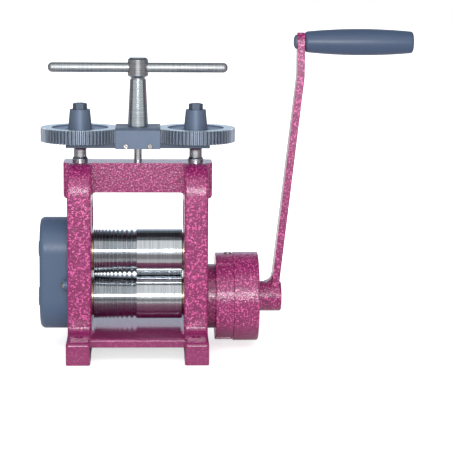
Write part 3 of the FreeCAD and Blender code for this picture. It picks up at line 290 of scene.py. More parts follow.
class Wiring:
    """Shader nodes being wired up in one tree."""

    def __init__(self, tree):
        self.tree = tree

    def add(self, kind, **settings):
        node = self.tree.nodes.new(kind)
        for key, value in settings.items():
            setattr(node, key, value)
        return node

    def link(self, source, target):
        self.tree.links.new(source, target)

    def feed(self, value, socket):
        """Links a socket's value, or sets a plain number or colour."""
        if isinstance(value, bpy.types.NodeSocket):
            self.link(value, socket)
        elif isinstance(value, (int, float)):
            socket.default_value = value
        else:
            socket.default_value = (*value, 1.0)

    def span(self, value, low, high, to_low, to_high):
        """Value carried from one range to another, smoothly and clamped."""
        node = self.add("ShaderNodeMapRange", interpolation_type="SMOOTHSTEP")
        for socket, number in zip(node.inputs[1:5], (low, high, to_low, to_high)):
            socket.default_value = number
        self.link(value, node.inputs["Value"])
        return node.outputs["Result"]

    def maths(self, operation, first, second=0.0):
        node = self.add("ShaderNodeMath", operation=operation)
        self.feed(first, node.inputs[0])
        self.feed(second, node.inputs[1])
        return node.outputs["Value"]

    def product(self, first, second):
        return self.maths("MULTIPLY", first, second)

    def larger(self, first, second):
        return self.maths("MAXIMUM", first, second)

    def between(self, factor, first, second):
        """Number between two, each a number or a socket."""
        node = self.add("ShaderNodeMix")
        self.link(factor, node.inputs["Factor"])
        self.feed(first, node.inputs[2])
        self.feed(second, node.inputs[3])
        return node.outputs[0]

    def blend(self, factor, first, second):
        """Colour between two, each a colour or a socket."""
        node = self.add("ShaderNodeMix", data_type="RGBA")
        self.feed(factor, node.inputs["Factor"])
        self.feed(first, node.inputs[6])
        self.feed(second, node.inputs[7])
        return node.outputs[2]

    def parts(self, vector):
        """The three numbers of a vector."""
        node = self.add("ShaderNodeSeparateXYZ")
        self.link(vector, node.inputs[0])
        return node.outputs

    def length(self, vector):
        node = self.add("ShaderNodeVectorMath", operation="LENGTH")
        self.link(vector, node.inputs[0])
        return node.outputs["Value"]

    def seen_in_metal(self):
        """One for what a reflection or glass shows, and nothing for what the camera or the light meets."""
        rays = self.add("ShaderNodeLightPath")
        return self.larger(rays.outputs["Is Glossy Ray"], rays.outputs["Is Transmission Ray"])

    def seen_directly(self):
        return self.add("ShaderNodeLightPath").outputs["Is Camera Ray"]


class Recipe(Wiring):
    """A material being put together from shader nodes."""

    def __init__(self, name):
        self.material = bpy.data.materials.new(name)
        self.material.use_nodes = True
        super().__init__(self.material.node_tree)
        self.shader = self.tree.nodes["Principled BSDF"]
        self.place = self.add("ShaderNodeTexCoord").outputs["Object"]

    def look(self, **values):
        """Sets plain numbers and colours on the shader's own sockets."""
        for key, value in values.items():
            self.shader.inputs[key.replace("_", " ")].default_value = value

    def mapped(self, scale, centre=(0, 0, 0)):
        """Object coordinates stretched and centred on a piece."""
        mapping = self.add("ShaderNodeMapping", vector_type="POINT")
        mapping.inputs["Location"].default_value = [-c * s for c, s in zip(centre, scale)]
        mapping.inputs["Scale"].default_value = scale
        self.link(self.place, mapping.inputs["Vector"])
        return mapping.outputs["Vector"]

    def noise(self, scale, detail=2.0, roughness=0.5, vector=None):
        node = self.add("ShaderNodeTexNoise")
        node.inputs["Scale"].default_value = scale
        node.inputs["Detail"].default_value = detail
        node.inputs["Roughness"].default_value = roughness
        self.link(vector or self.place, node.inputs["Vector"])
        return node.outputs["Fac"]

    def cells(self, scale):
        """Soft cells, as hammertone paint draws into."""
        node = self.add("ShaderNodeTexVoronoi", feature="SMOOTH_F1")
        node.inputs["Scale"].default_value = scale
        self.link(self.place, node.inputs["Vector"])
        return node.outputs["Distance"]

    def rounded(self, radius):
        """Normal that runs smoothly over edges, as on a part whose edges are broken."""
        node = self.add("ShaderNodeBevel", samples=6)
        node.inputs["Radius"].default_value = radius
        return node.outputs["Normal"]

    def edges(self, normal):
        """One along the edges that a rounded normal smooths, and nothing on flat faces."""
        flat = self.add("ShaderNodeNewGeometry").outputs["True Normal"]
        turn = self.add("ShaderNodeVectorMath", operation="DOT_PRODUCT")
        self.link(normal, turn.inputs[0])
        self.link(flat, turn.inputs[1])
        return self.span(turn.outputs["Value"], *EDGE_TURN, 0.0, 1.0)

    def cloudy(self, clouds, value, low, high):
        """Value varied by clouds between two shares of it."""
        return self.span(clouds, *NOISE_REACH, low * value, high * value)

    def bump(self, height, depth, under=None, strength=None):
        """Normal with fine relief; strength, a socket, fades it."""
        node = self.add("ShaderNodeBump")
        node.inputs["Distance"].default_value = depth
        self.link(height, node.inputs["Height"])
        if under is not None:
            self.link(under, node.inputs["Normal"])
        if strength is not None:
            self.link(strength, node.inputs["Strength"])
        return node.outputs["Normal"]


def share_of(colour, share):
    return [share * c for c in colour]


def hammertone_paint(name, shade_below=False):
    """Glossy magenta hammertone: pale flecks and fine dimples under a clear coat, smoother where it settled.

    With the second argument set, the faces turned down are coloured near black: a painted shade under the
    casting.
    """
    paint = Recipe(name)
    scale = 1 / sizes().speckle
    height = paint.maths("ADD", paint.cells(scale), paint.noise(1.4 * scale, 2.0, 0.6))
    settled = paint.span(paint.parts(paint.place)["Z"], *PAINT_SETTLED_Z, SETTLED_DIMPLES, 1.0)
    drift = paint.noise(25.0, 2.0)
    deep = paint.blend(drift, colours().paint, share_of(colours().paint, 0.84))
    flecks = paint.span(paint.noise(0.95 * scale, 3.0, 0.6), *FLECK_LIMITS, 0.0, FLECK_STRENGTH)
    flecks = paint.product(flecks, paint.span(settled, SETTLED_DIMPLES, 1.0, SETTLED_FLECKS, 1.0))
    colour = paint.blend(flecks, deep, colours().paint_light)
    # Painted shade: faces turned down are coloured near black
    if shade_below:
        facing = paint.parts(paint.add("ShaderNodeNewGeometry").outputs["True Normal"])["Z"]
        colour = paint.blend(paint.span(facing, -0.9, -0.7, 1.0, 0.0), colour, UNDERSIDE_PAINTED_SHADE)
    paint.link(colour, paint.shader.inputs["Base Color"])
    normal = paint.bump(height, sizes().dimple, paint.rounded(2 * sizes().edge_round), settled)
    paint.link(normal, paint.shader.inputs["Normal"])
    paint.link(normal, paint.shader.inputs["Coat Normal"])
    paint.look(Roughness=0.5, Coat_Weight=1.0, Coat_Roughness=0.07, Coat_IOR=1.62)
    return paint.material


def turned_steel(name, colour, roughness, lines):
    """Bright steel with fine tool lines; lines gives their closeness along each axis."""
    steel = Recipe(name)
    line_depth = 0.004 * MM
    streaks = steel.noise(1.0, 2.0, 0.6, steel.mapped(lines))
    clouds = steel.noise(60.0, 3.0, 0.6)
    steel.link(steel.blend(steel.span(streaks, 0.35, 0.65, 0.0, 1.0), share_of(colour, 0.82), colour),
               steel.shader.inputs["Base Color"])
    steel.link(steel.cloudy(clouds, roughness, 0.8, 1.25), steel.shader.inputs["Roughness"])
    steel.link(steel.bump(streaks, line_depth, steel.rounded(0.6 * sizes().edge_round)),
               steel.shader.inputs["Normal"])
    steel.look(Metallic=1.0)
    return steel.material


def satin_steel(name, colour, roughness, metallic=1.0):
    """Machined or blued steel, even and a little cloudy, lighter along its edges: partly rubbed wear, partly
    a painted edge highlight.
    """
    steel = Recipe(name)
    grain_depth = 0.01 * MM
    clouds = steel.noise(90.0, 3.0, 0.6)
    rounding = steel.rounded(sizes().edge_round)
    # Edges lightened in colour: rubbed wear together with a painted highlight along them
    rubbed_and_highlit = steel.product(steel.edges(rounding), 0.6)
    body = steel.blend(clouds, share_of(colour, 0.86), colour)
    steel.link(steel.blend(rubbed_and_highlit, body, [min(0.9, 1.5 * c + 0.05) for c in colour]),
               steel.shader.inputs["Base Color"])
    steel.link(steel.cloudy(clouds, roughness, 0.85, 1.15), steel.shader.inputs["Roughness"])
    steel.link(steel.bump(steel.noise(1400.0, 1.0), grain_depth, rounding), steel.shader.inputs["Normal"])
    steel.look(Metallic=metallic)
    return steel.material


def satin_enamel(name, colour, roughness, peel):
    """Satin enamel or moulded plastic with orange peel of the given depth."""
    enamel = Recipe(name)
    clouds = enamel.noise(30.0, 2.0)
    enamel.link(enamel.blend(clouds, share_of(colour, 0.90), colour), enamel.shader.inputs["Base Color"])
    enamel.link(enamel.cloudy(enamel.noise(220.0, 3.0, 0.7), roughness, 0.85, 1.15),
                enamel.shader.inputs["Roughness"])
    enamel.link(enamel.bump(enamel.noise(350.0, 2.0), peel, enamel.rounded(sizes().edge_round)),
                enamel.shader.inputs["Normal"])
    enamel.look(Coat_Weight=0.2, Coat_Roughness=0.3)
    return enamel.material


def gear_steel(name, x):
    """Blued gear about the upright axis at x, with ground teeth, and a painted highlight on its rim's top
    face and edges.
    """
    gear = Recipe(name)
    radius = gear.length(gear.mapped((1, 1, 0), (x, 0, 0)))
    rim = gear.span(radius, *GEAR_DISH_EDGE, 0.0, 1.0)
    clouds = gear.noise(120.0, 3.0, 0.6)
    rounding = gear.rounded(0.5 * sizes().edge_round)
    blued = colours().blued
    hub = gear.blend(clouds, share_of(blued, 0.85), blued)
    dark = gear.blend(gear.span(radius, *GEAR_HUB_EDGE, 0.0, 1.0), hub, share_of(blued, 1.8))
    ground = gear.blend(clouds, share_of(colours().gear_rim, 0.8), colours().gear_rim)
    # Painted highlight: the rim's top face and edges turn pale blue-white, a painted reflection of the bright
    # back
    top = gear.span(gear.parts(gear.place)["Z"], *GEAR_TOP_EDGE, 0.0, 1.0)
    bright = gear.blend(gear.larger(top, gear.edges(rounding)), ground, PAINTED_TOP_HIGHLIGHT)
    gear.link(gear.blend(rim, dark, bright), gear.shader.inputs["Base Color"])
    gear.link(gear.between(rim, 0.48, 0.36), gear.shader.inputs["Roughness"])
    gear.link(gear.between(rim, 0.35, 0.85), gear.shader.inputs["Metallic"])
    gear.link(rounding, gear.shader.inputs["Normal"])
    return gear.material


def finishes():
    """Material for each slot of the record and for a few pieces of their own, each made once."""
    c = colours()
    along_x = (ACROSS_LINES, ALONG_LINES, ALONG_LINES)
    along_z = (ALONG_LINES, ALONG_LINES, ACROSS_LINES)
    makers = {
        "magenta_hammertone": lambda: hammertone_paint("machine_paint"),
        # The frame's paint carries the painted shade on its faces turned down
        "frame_hammertone": lambda: hammertone_paint("frame_paint", True),
        "polished_steel": lambda: turned_steel("ground_steel", c.steel, 0.12, along_x),
        "upright_steel": lambda: turned_steel("upright_steel", c.steel, 0.12, along_z),
        "drawn_steel": lambda: turned_steel("drawn_steel", c.steel, 0.42, along_x),
        "blued_steel": lambda: satin_steel("blued_steel", c.blued, 0.46, 0.35),
        # Darker steel: black oxide on the cap nuts, and on the tie plate a painted shade for the shadow of
        # the gears above it
        "oxide_and_shaded_steel": lambda: satin_steel("oxide_and_shaded_steel", share_of(c.blued, 0.62), 0.42, 0.35),
        "machined_steel": lambda: satin_steel("machined_steel", (0.5, 0.52, 0.55), 0.3),
        "bearing_bronze": lambda: satin_steel("bearing_bronze", c.bronze, 0.28),
        "spring_steel": lambda: satin_steel("spring_steel", (0.32, 0.33, 0.35), 0.3),
        "blue_grey_enamel": lambda: satin_enamel("blue_grey_enamel", c.enamel, 0.42, 0.03 * MM),
        "plated_screws": lambda: satin_steel("plated_screws", c.plated, 0.18),
        "grip_plastic": lambda: satin_enamel("grip_plastic", c.grip, 0.38, 0.06 * MM),
    }
    made = {}
    for slot, maker in makers.items():
        found = bpy.data.materials.get(slot + "_finish")
        if found is None:
            found = maker()
            found.name = slot + "_finish"
        made[slot] = found
    return made


def wear(piece, material):
    """Puts one material on every slot of a piece."""
    if not piece.material_slots:
        piece.data.materials.append(material)
    for slot in piece.material_slots:
        slot.material = material


def deselect():
    """Leaves edit mode and selects nothing."""
    if bpy.context.object is not None and bpy.context.object.mode != "OBJECT":
        bpy.ops.object.mode_set(mode="OBJECT")
    bpy.ops.object.select_all(action="DESELECT")


def newest(name):
    """Names the piece just made and gives it back."""
    piece = bpy.context.object
    piece.name = name
    piece.data.name = name
    return piece


def turned(name, steps, centre=(0, 0), axis="Z", sides=48):
    """Closed turned piece from (radius, place) steps along an axis; centre is its place on the other two."""
    deselect()
    (radius, place), *rest = steps
    bpy.ops.mesh.primitive_circle_add(vertices=sides, radius=radius, fill_type="NGON",
                                      location=(0, 0, place))
    settle()
    bpy.ops.object.mode_set(mode="EDIT")
    bpy.ops.mesh.select_all(action="SELECT")
    for next_radius, next_place in rest:
        growth = next_radius / radius
        bpy.ops.mesh.extrude_region_move(TRANSFORM_OT_translate={"value": (0, 0, next_place - place)})
        bpy.ops.transform.resize(value=(growth, growth, 1), center_override=(0, 0, next_place))
        radius, place = next_radius, next_place
    close_up()
    piece = bpy.context.object
    if axis == "X":
        piece.rotation_euler = (0, math.pi / 2, 0)
        piece.location = (0, *centre)
    elif axis == "Y":
        piece.rotation_euler = (-math.pi / 2, 0, 0)
        piece.location = (centre[0], 0, centre[1])
    else:
        piece.location = (*centre, 0)
    settle()
    return newest(name)


def wound(name, radius, half_width, half_height, rise, turns, low, sides):
    """Left-hand helix of a small closed section about the Z axis, with both ends closed."""
    deselect()
    bpy.ops.mesh.primitive_circle_add(vertices=sides, radius=1, location=(radius, 0, low),
                                      rotation=(math.pi / 2, 0, 0))
    piece = bpy.context.object
    piece.scale = (half_width, half_height, 1)
    settle()
    winding = piece.modifiers.new("winding", "SCREW")
    winding.axis = "Z"
    winding.angle = -2 * math.pi
    winding.screw_offset = rise
    winding.iterations = turns
    winding.steps = winding.render_steps = WINDING_STEPS
    bpy.ops.object.modifier_apply(modifier=winding.name)
    bpy.ops.object.mode_set(mode="EDIT")
    bpy.ops.mesh.select_mode(type="EDGE")
    bpy.ops.mesh.select_all(action="DESELECT")
    bpy.ops.mesh.select_non_manifold()
    bpy.ops.mesh.fill_holes(sides=0)
    close_up()
    return newest(name)


def close_up():
    """Turns every face of the piece in edit mode outwards and leaves edit mode."""
    bpy.ops.mesh.select_all(action="SELECT")
    bpy.ops.mesh.normals_make_consistent(inside=False)
    bpy.ops.object.mode_set(mode="OBJECT")


def slot_cutter(centre, size, turn):
    """Bar that cuts a driver slot, turned about its own centre."""
    deselect()
    bpy.ops.mesh.primitive_cube_add(size=1, location=centre, rotation=turn)
    bpy.context.object.scale = size
    settle()
    return newest("slot_cutter")


def socket_cutter(centre, head_radius, head_height):
    """Hexagonal bar along X that cuts a driver socket into the middle of a head's outer face."""
    deselect()
    bpy.ops.mesh.primitive_cylinder_add(vertices=6, radius=SOCKET_RADIUS_SHARE * head_radius,
                                        depth=2 * SOCKET_DEPTH_SHARE * head_height, location=centre,
                                        rotation=(0, math.pi / 2, 0))
    settle()
    return newest("socket_cutter")


def settle():
    """Leaves a new piece at the origin with its place in its mesh."""
    bpy.ops.object.transform_apply(location=True, rotation=True, scale=True)


def only(piece):
    deselect()
    piece.select_set(True)
    bpy.context.view_layer.objects.active = piece


def cut(piece, tool):
    """Takes a tool's shape out of a piece."""
    name = piece.name
    only(piece)
    boolean = piece.modifiers.new("cut", "BOOLEAN")
    boolean.operation = "DIFFERENCE"
    boolean.solver = "EXACT"
    boolean.object = tool
    bpy.ops.object.modifier_apply(modifier=boolean.name)
    bpy.data.objects.remove(tool)
    return newest(name)


def join(name, pieces):
    """Makes one object of several."""
    deselect()
    for piece in pieces:
        piece.select_set(True)
    bpy.context.view_layer.objects.active = pieces[0]
    bpy.ops.object.join()
    return newest(name)


def smooth(piece):
    """Shades a piece smooth, apart from its sharp edges."""
    only(piece)
    bpy.ops.object.shade_smooth_by_angle(angle=SHARP_ANGLE)


def copy_at(piece, name, shift):
    """Copy of a piece with its own mesh, moved and settled."""
    only(piece)
    bpy.ops.object.duplicate()
    bpy.ops.transform.translate(value=shift)
    settle()
    return newest(name)


def seat(piece, body, slot, *nodes):
    """Gives a finished piece its body, its finish and the CAD nodes it stands for."""
    smooth(piece)
    wear(piece, finishes()[slot])
    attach(piece, body)
    if nodes:
        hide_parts(*nodes)
    deselect()


class MILL_OT_finish_castings(bpy.types.Operator):
    """Dress every CAD piece in the finish of its slot"""
    bl_idname = "mill.finish_castings"
    bl_label = "Finishes"

    def execute(self, context):
        made = finishes()
        for name, node in NODES.items():
            wear(node, made[SLOT_OF[name]])
        wear(NODES["frame_casting"], made["frame_hammertone"])
        for name in ("t_column", "centre_spindle", "screw_nuts"):
            wear(NODES[name], made["upright_steel"])
        # The tie plate's darker steel is a painted shade of the gears above it; the cap nuts are black oxide
        for name in ("tie_plate", "left_cap_nut", "right_cap_nut"):
            wear(NODES[name], made["oxide_and_shaded_steel"])
        return {"FINISHED"}


class MILL_OT_finish_gears(bpy.types.Operator):
    """Give the two screw gears their ground rims"""
    bl_idname = "mill.finish_gears"
    bl_label = "Screw gears"

    def execute(self, context):
        wear(NODES["left_screw_gear"], gear_steel("left_gear_steel", -SCREW_X))
        wear(NODES["right_screw_gear"], gear_steel("right_gear_steel", SCREW_X))
        return {"FINISHED"}


class MILL_OT_turn_t_bar(bpy.types.Operator):
    """Model the sliding T-bar with its rounded ends"""
    bl_idname = "mill.turn_t_bar"
    bl_label = "T-bar"

    def execute(self, context):
        (start, _, low), (end, _, high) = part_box("t_bar")
        radius = (high - low) / 2
        bends = [math.radians(angle) for angle in T_BAR_ANGLES]
        steps = [(radius * math.sin(bend), start + T_BAR_DOME * (1 - math.cos(bend))) for bend in bends]
        steps += [(r, start + end - x) for r, x in reversed(steps)]
        bar = turned("rounded_t_bar", steps, (0, low + radius), "X")
        seat(bar, "t_handle", "polished_steel", "t_bar")
        wear(bar, finishes()["drawn_steel"])
        return {"FINISHED"}


class MILL_OT_cut_threads(bpy.types.Operator):
    """Model the two pressure screws with their threads and flared collars"""
    bl_idname = "mill.cut_threads"
    bl_label = "Pressure screws"

    def execute(self, context):
        (_, _, tip), (_, _, stub_top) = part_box("left_pressure_screw")
        frame_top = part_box("frame_casting")[1][2]
        hub_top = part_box("left_screw_gear")[1][2]
        collar_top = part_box("tie_plate")[0][2] - COLLAR_GAP
        collar_bottom = collar_top - COLLAR_HEIGHT
        root = SCREW_RADIUS - sizes().thread_depth
        thread_top = frame_top - THREAD_RUNOUT
        steps = [(root - THREAD_RUNOUT / 2, tip), (root, tip + THREAD_RUNOUT / 2), (root, thread_top),
                 (SCREW_RADIUS, thread_top + THREAD_RUNOUT),
                 (SCREW_RADIUS, thread_top + THREAD_RUNOUT + NECK_LOOP),
                 (SCREW_RADIUS, collar_bottom - FLARE_HEIGHT - NECK_LOOP)]
        for angle in FLARE_ANGLES:
            bend = math.radians(angle)
            steps.append((SCREW_RADIUS + (COLLAR_RADIUS - SCREW_RADIUS) * (1 - math.cos(bend)),
                          collar_bottom - FLARE_HEIGHT * (1 - math.sin(bend))))
        steps += [(COLLAR_RADIUS, collar_top), (SCREW_RADIUS, collar_top), (SCREW_RADIUS, hub_top),
                  (STUB_RADIUS, hub_top), (STUB_RADIUS, stub_top)]
        pitch = sizes().thread_pitch
        turns = int((thread_top - tip - pitch) / pitch)
        for side, name in ((-1, "left"), (1, "right")):
            core = turned("core", steps)
            ridge = wound("ridge", root, sizes().thread_depth, THREAD_HALF_HEIGHT * pitch, pitch, turns,
                          tip + pitch / 2, 4)
            screw = join(name + "_threaded_screw", [core, ridge])
            screw.location.x = side * SCREW_X
            settle()
            seat(screw, name + "_screw", "polished_steel", name + "_pressure_screw")
            wear(screw, finishes()["upright_steel"])
        return {"FINISHED"}


def dome_steps(radius, height, base, outwards, rings=6):
    """(radius, place) steps of a low round head standing on base."""
    ball = (radius * radius + height * height) / (2 * height)
    start = math.asin((ball - height) / ball)
    steps = []
    for ring in range(rings + 1):
        angle = start + (DOME_END - start) * ring / rings
        steps.append((ball * math.cos(angle), base + outwards * (height - ball * (1 - math.sin(angle)))))
    return steps


class MILL_OT_add_cover_screws(bpy.types.Operator):
    """Model the round-head screws of the coupling cover with their driver slots"""
    bl_idname = "mill.add_cover_screws"
    bl_label = "Cover screws"

    def execute(self, context):
        (outer, low_y, low_z), (inner, _, high_z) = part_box("cover_screws")
        head = (high_z - low_z) / 2
        base = outer + COVER_SCREW_DOME
        screws = []
        for y, slot_turn in zip((low_y + head, -low_y - head), COVER_SLOT_TURNS):
            steps = [(COVER_SCREW_RADIUS, inner), (COVER_SCREW_RADIUS, base)]
            steps += dome_steps(head, COVER_SCREW_DOME, base, -1)
            screw = turned("cover_screw", steps, (y, low_z + head), "X")
            bar = slot_cutter((outer, y, low_z + head),
                              (2 * sizes().slot_depth, SLOT_LENGTH_SHARE * head, sizes().slot_width),
                              (slot_turn, 0, 0))
            screws.append(cut(screw, bar))
        seat(join("slotted_cover_screws", screws), "frame", "plated_screws", "cover_screws")
        return {"FINISHED"}


class MILL_OT_add_housing_screws(bpy.types.Operator):
    """Model the four cheese-head screws of the pinion housing with their driver slots"""
    bl_idname = "mill.add_housing_screws"
    bl_label = "Housing screws"

    def execute(self, context):
        (_, _, low_z), (_, far_y, high_z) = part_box("housing_screws")
        head = (high_z - low_z) / 2
        seat_y = far_y - HOUSING_SCREW_HEAD_HEIGHT
        edge = HOUSING_SCREW_HEAD_HEIGHT / 5
        tip_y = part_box("tie_plate")[1][1] - 4 * head
        screws = []
        for x, slot_turn in zip((-HOUSING_SCREW_X, HOUSING_SCREW_X), HOUSING_SLOT_TURNS):
            for side in (-1, 1):
                steps = [(HOUSING_SCREW_RADIUS, tip_y), (HOUSING_SCREW_RADIUS, seat_y), (head, seat_y),
                         (head, far_y - edge), (head - edge, far_y)]
                screw = turned("housing_screw", [(r, side * y) for r, y in steps], (x, low_z + head), "Y",
                               SMALL_SIDES)
                bar = slot_cutter((x, side * far_y, low_z + head),
                                  (SLOT_LENGTH_SHARE * head, HOUSING_SCREW_HEAD_HEIGHT,
                                   0.8 * sizes().slot_width),
                                  (0, slot_turn, 0))
                screws.append(cut(screw, bar))
        seat(join("slotted_housing_screws", screws), "carriage", "plated_screws", "housing_screws")
        return {"FINISHED"}


class MILL_OT_add_gearbox_screws(bpy.types.Operator):
    """Model the socket screws of the gearbox cover and of the crank hub, and the slotted oil plug"""
    bl_idname = "mill.add_gearbox_screws"
    bl_label = "Gearbox screws"

    def execute(self, context):
        (inner, _, _), (outer, _, _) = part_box("gearbox_cover_screws")
        seat_x = outer - GEARBOX_SCREW_HEAD_HEIGHT
        edge = GEARBOX_SCREW_HEAD / 10
        screws = []
        for index in range(GEARBOX_SCREW_COUNT):
            angle = GEARBOX_SCREW_START + 2 * math.pi * index / GEARBOX_SCREW_COUNT
            y = GEARBOX_SCREW_CIRCLE * math.cos(angle)
            z = LOWER_AXIS_Z + GEARBOX_SCREW_CIRCLE * math.sin(angle)
            steps = [(GEARBOX_SCREW_RADIUS, inner), (GEARBOX_SCREW_RADIUS, seat_x),
                     (GEARBOX_SCREW_HEAD, seat_x), (GEARBOX_SCREW_HEAD, outer - edge),
                     (GEARBOX_SCREW_HEAD - edge, outer)]
            screw = turned("gearbox_screw", steps, (y, z), "X", SMALL_SIDES)
            screws.append(cut(screw, socket_cutter((outer, y, z), GEARBOX_SCREW_HEAD,
                                                   GEARBOX_SCREW_HEAD_HEIGHT)))
        seat(join("socket_gearbox_screws", screws), "frame", "plated_screws", "gearbox_cover_screws")

        (inner, _, low_z), (outer, _, high_z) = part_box("hub_screw")
        head = (high_z - low_z) / 2
        seat_x = outer - HUB_SCREW_HEAD_HEIGHT
        edge = head / 10
        steps = [(HUB_SCREW_RADIUS, inner), (HUB_SCREW_RADIUS, seat_x), (head, seat_x),
                 (head, outer - edge), (head - edge, outer)]
        screw = turned("hub_socket_screw", steps, (0, LOWER_AXIS_Z), "X")
        screw = cut(screw, socket_cutter((outer, 0, LOWER_AXIS_Z), head, HUB_SCREW_HEAD_HEIGHT))
        seat(screw, "crank", "plated_screws", "hub_screw")

        (low_x, _, low_z), (high_x, _, high_z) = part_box("oil_plug")
        head = (high_x - low_x) / 2
        seat_z = high_z - OIL_PLUG_HEAD_HEIGHT
        steps = [(OIL_PLUG_RADIUS, low_z), (OIL_PLUG_RADIUS, seat_z), (head, seat_z),
                 (head, high_z - edge), (head - edge, high_z)]
        plug = turned("slotted_oil_plug", steps, (low_x + head, 0))
        bar = slot_cutter((low_x + head, 0, high_z),
                          (SLOT_LENGTH_SHARE * head, sizes().slot_width, PLUG_SLOT_DEPTH),
                          (0, 0, OIL_PLUG_SLOT_TURN))
        plug = cut(plug, bar)
        seat(plug, "frame", "plated_screws", "oil_plug")
        return {"FINISHED"}


class MILL_OT_wind_springs(bpy.types.Operator):
    """Wind the four lift springs between the bearing blocks"""
    bl_idname = "mill.wind_springs"
    bl_label = "Lift springs"

    def execute(self, context):
        (_, _, low), (_, _, high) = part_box("lift_springs")
        wire = sizes().spring_wire
        turns = sizes().spring_turns
        rise = (high - low - 2 * wire) / turns
        coil = wound("spring", SPRING_RADIUS - wire, wire, wire, rise, turns, low + wire, 8)
        springs = []
        for x in (-SCREW_X, SCREW_X):
            for y in (-SPRING_OFFSET, SPRING_OFFSET):
                springs.append(copy_at(coil, "spring_copy", (x, y, 0)))
        bpy.data.objects.remove(coil)
        coils = join("lift_spring_coils", springs)
        smooth(coils)
        wear(coils, finishes()["spring_steel"])
        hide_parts("lift_springs")
        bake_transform(coils)
        return {"FINISHED"}


def studio_floor():
    """Pale floor that keeps the mill's shadow and turns white away from it.

    The metal sees it dim, with a bright strip far ahead and one behind.
    """
    floor = Recipe("pale_floor")
    tree = floor.tree
    tree.nodes.remove(floor.shader)
    distance = floor.length(floor.place)
    matt = floor.add("ShaderNodeBsdfDiffuse")
    floor.feed((FLOOR_WHITE, FLOOR_WHITE, FLOOR_WHITE), matt.inputs["Color"])
    white = floor.add("ShaderNodeEmission")
    away = floor.span(distance, *SHADOW_EDGE, SHADOW_LIFT, 1.0)
    floor.link(floor.product(away, floor.seen_directly()), white.inputs["Strength"])
    lit = floor.add("ShaderNodeAddShader")
    floor.link(matt.outputs[0], lit.inputs[0])
    floor.link(white.outputs[0], lit.inputs[1])
    table = floor.add("ShaderNodeEmission")
    floor.feed(TABLE_TINT, table.inputs["Color"])
    across, along, _ = floor.parts(floor.place)
    aside = floor.maths("ABSOLUTE", across)
    ahead = floor.product(floor.span(along, *AHEAD_START, 0.0, FAR_GLOW),
                          floor.span(aside, *AHEAD_SIDES, 0.0, 1.0))
    ahead = floor.larger(ahead, TABLE_GLOW)
    behind = floor.product(floor.span(along, *BEHIND_START, 0.0, BACK_GLOW),
                           floor.span(aside, *BEHIND_SIDES, 0.0, 1.0))
    floor.link(floor.larger(ahead, behind), table.inputs["Strength"])
    in_metal = floor.product(floor.span(distance, *NEAR_EDGE, 0.0, 1.0), floor.seen_in_metal())
    mix = floor.add("ShaderNodeMixShader")
    floor.link(in_metal, mix.inputs[0])
    floor.link(lit.outputs[0], mix.inputs[1])
    floor.link(table.outputs[0], mix.inputs[2])
    floor.link(mix.outputs[0], tree.nodes["Material Output"].inputs["Surface"])
    return floor.material


def studio_world(fill):
    """White where the camera sees it; the metal sees a bright low front, a bright sheet behind, dim sides."""
    world = bpy.data.worlds.new("studio")
    bpy.context.scene.world = world
    world.use_nodes = True
    wires = Wiring(world.node_tree)
    across, back, up = wires.parts(wires.add("ShaderNodeTexCoord").outputs["Generated"])
    front = wires.product(back, -1.0)
    front_glow = wires.product(wires.span(front, *FRONT_EDGE, 0.0, FRONT_GLOW),
                               wires.span(up, *FRONT_TOP, 1.0, FRONT_TOP_SHARE))
    sheet = wires.product(wires.span(wires.maths("ABSOLUTE", across), *SHEET_SIDES, 0.0, 1.0),
                          wires.span(up, *SHEET_TOP, 0.0, 1.0))
    sheet = wires.product(sheet, wires.span(back, *SHEET_EDGE, 0.0, BACK_GLOW))
    back_glow = wires.larger(sheet, SIDE_GLOW)
    in_metal = wires.seen_in_metal()
    glow = wires.between(in_metal, fill, wires.larger(front_glow, back_glow))
    background = wires.tree.nodes["Background"]
    wires.link(wires.between(wires.seen_directly(), glow, 1.0), background.inputs["Strength"])
    cool = wires.blend(wires.span(back, *TINT_EDGE, 0.0, 1.0), FRONT_TINT, BACK_TINT)
    wires.link(wires.blend(in_metal, WHITE, cool), background.inputs["Color"])


def lamp(name, place, target, size, power):
    """Soft rectangular lamp at a place, turned to a target."""
    deselect()
    bpy.ops.object.light_add(type="AREA", location=place)
    light = bpy.context.object
    light.name = name
    light.data.shape = "RECTANGLE"
    light.data.size, light.data.size_y = size
    light.data.energy = power
    light.visible_camera = False
    light.rotation_euler = (light.location - Vector(target)).to_track_quat("Z", "Y").to_euler()


class MILL_OT_set_stage(bpy.types.Operator):
    """Put up the floor, the lamps, the white surround and the camera"""
    bl_idname = "mill.set_stage"
    bl_label = "Stage"

    def execute(self, context):
        stage = context.scene.mill_stage
        deselect()
        bpy.ops.mesh.primitive_plane_add(size=FLOOR_SIZE)
        floor = newest("studio_floor")
        wear(floor, studio_floor())
        studio_world(stage.fill)
        lamp("softbox", SOFTBOX_PLACE, SOFTBOX_TARGET, SOFTBOX_SIZE, stage.softbox_power)
        lamp("key_lamp", KEY_PLACE, KEY_TARGET, KEY_SIZE, stage.key_power)
        place_camera(stage.lens)
        context.scene.view_settings.view_transform = "Standard"
        return {"FINISHED"}


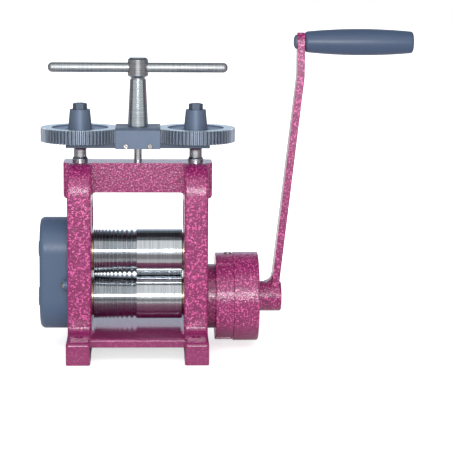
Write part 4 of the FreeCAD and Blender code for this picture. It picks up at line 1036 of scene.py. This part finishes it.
def place_camera(lens):
    """Camera at the photograph's angle."""
    yaw, pitch, roll = (math.radians(a) for a in (CAMERA_YAW, CAMERA_PITCH, CAMERA_ROLL))
    right = (math.cos(yaw), -math.sin(yaw), 0.0)
    forward = (math.cos(pitch) * math.sin(yaw), math.cos(pitch) * math.cos(yaw), -math.sin(pitch))
    up = (math.sin(pitch) * math.sin(yaw), math.sin(pitch) * math.cos(yaw), math.cos(pitch))
    x_axis = [math.cos(roll) * r + math.sin(roll) * u for r, u in zip(right, up)]
    y_axis = [-math.sin(roll) * r + math.cos(roll) * u for r, u in zip(right, up)]
    z_axis = [-f for f in forward]
    bpy.ops.object.camera_add()
    camera = bpy.context.object
    camera.name = "studio_camera"
    camera.matrix_world = Matrix([(*row, p) for row, p in zip(zip(x_axis, y_axis, z_axis), CAMERA_PLACE)]
                                 + [(0, 0, 0, 1)])
    camera.data.lens = lens
    camera.data.sensor_width = SENSOR_WIDTH
    bpy.context.scene.camera = camera


class MILL_PT_sidebar(bpy.types.Panel):
    """Buttons for each group of pieces"""
    bl_label = "Rolling mill"
    bl_idname = "MILL_PT_sidebar"
    bl_space_type = "VIEW_3D"
    bl_region_type = "UI"
    bl_category = "Rolling mill"

    def draw(self, context):
        for operator in OPERATORS:
            self.layout.operator(operator.bl_idname)


OPERATORS = (
    MILL_OT_finish_castings,
    MILL_OT_finish_gears,
    MILL_OT_turn_t_bar,
    MILL_OT_cut_threads,
    MILL_OT_add_cover_screws,
    MILL_OT_add_housing_screws,
    MILL_OT_add_gearbox_screws,
    MILL_OT_wind_springs,
    MILL_OT_set_stage,
)
GROUPS = {
    "mill_colours": RollingMillColours,
    "mill_sizes": RollingMillSizes,
    "mill_stage": RollingMillStage,
}


def register():
    for group in GROUPS.values():
        bpy.utils.register_class(group)
    for operator in OPERATORS:
        bpy.utils.register_class(operator)
    bpy.utils.register_class(MILL_PT_sidebar)
    for name, group in GROUPS.items():
        setattr(bpy.types.Scene, name, bpy.props.PointerProperty(type=group))


def unregister():
    for name in GROUPS:
        delattr(bpy.types.Scene, name)
    bpy.utils.unregister_class(MILL_PT_sidebar)
    for operator in reversed(OPERATORS):
        bpy.utils.unregister_class(operator)
    for group in reversed(list(GROUPS.values())):
        bpy.utils.unregister_class(group)


def main():
    register()
    bpy.ops.mill.finish_castings()
    bpy.ops.mill.finish_gears()
    bpy.ops.mill.turn_t_bar()
    bpy.ops.mill.cut_threads()
    bpy.ops.mill.add_cover_screws()
    bpy.ops.mill.add_housing_screws()
    bpy.ops.mill.add_gearbox_screws()
    bpy.ops.mill.wind_springs()
    bpy.ops.mill.set_stage()


if __name__ == "__main__":
    main()
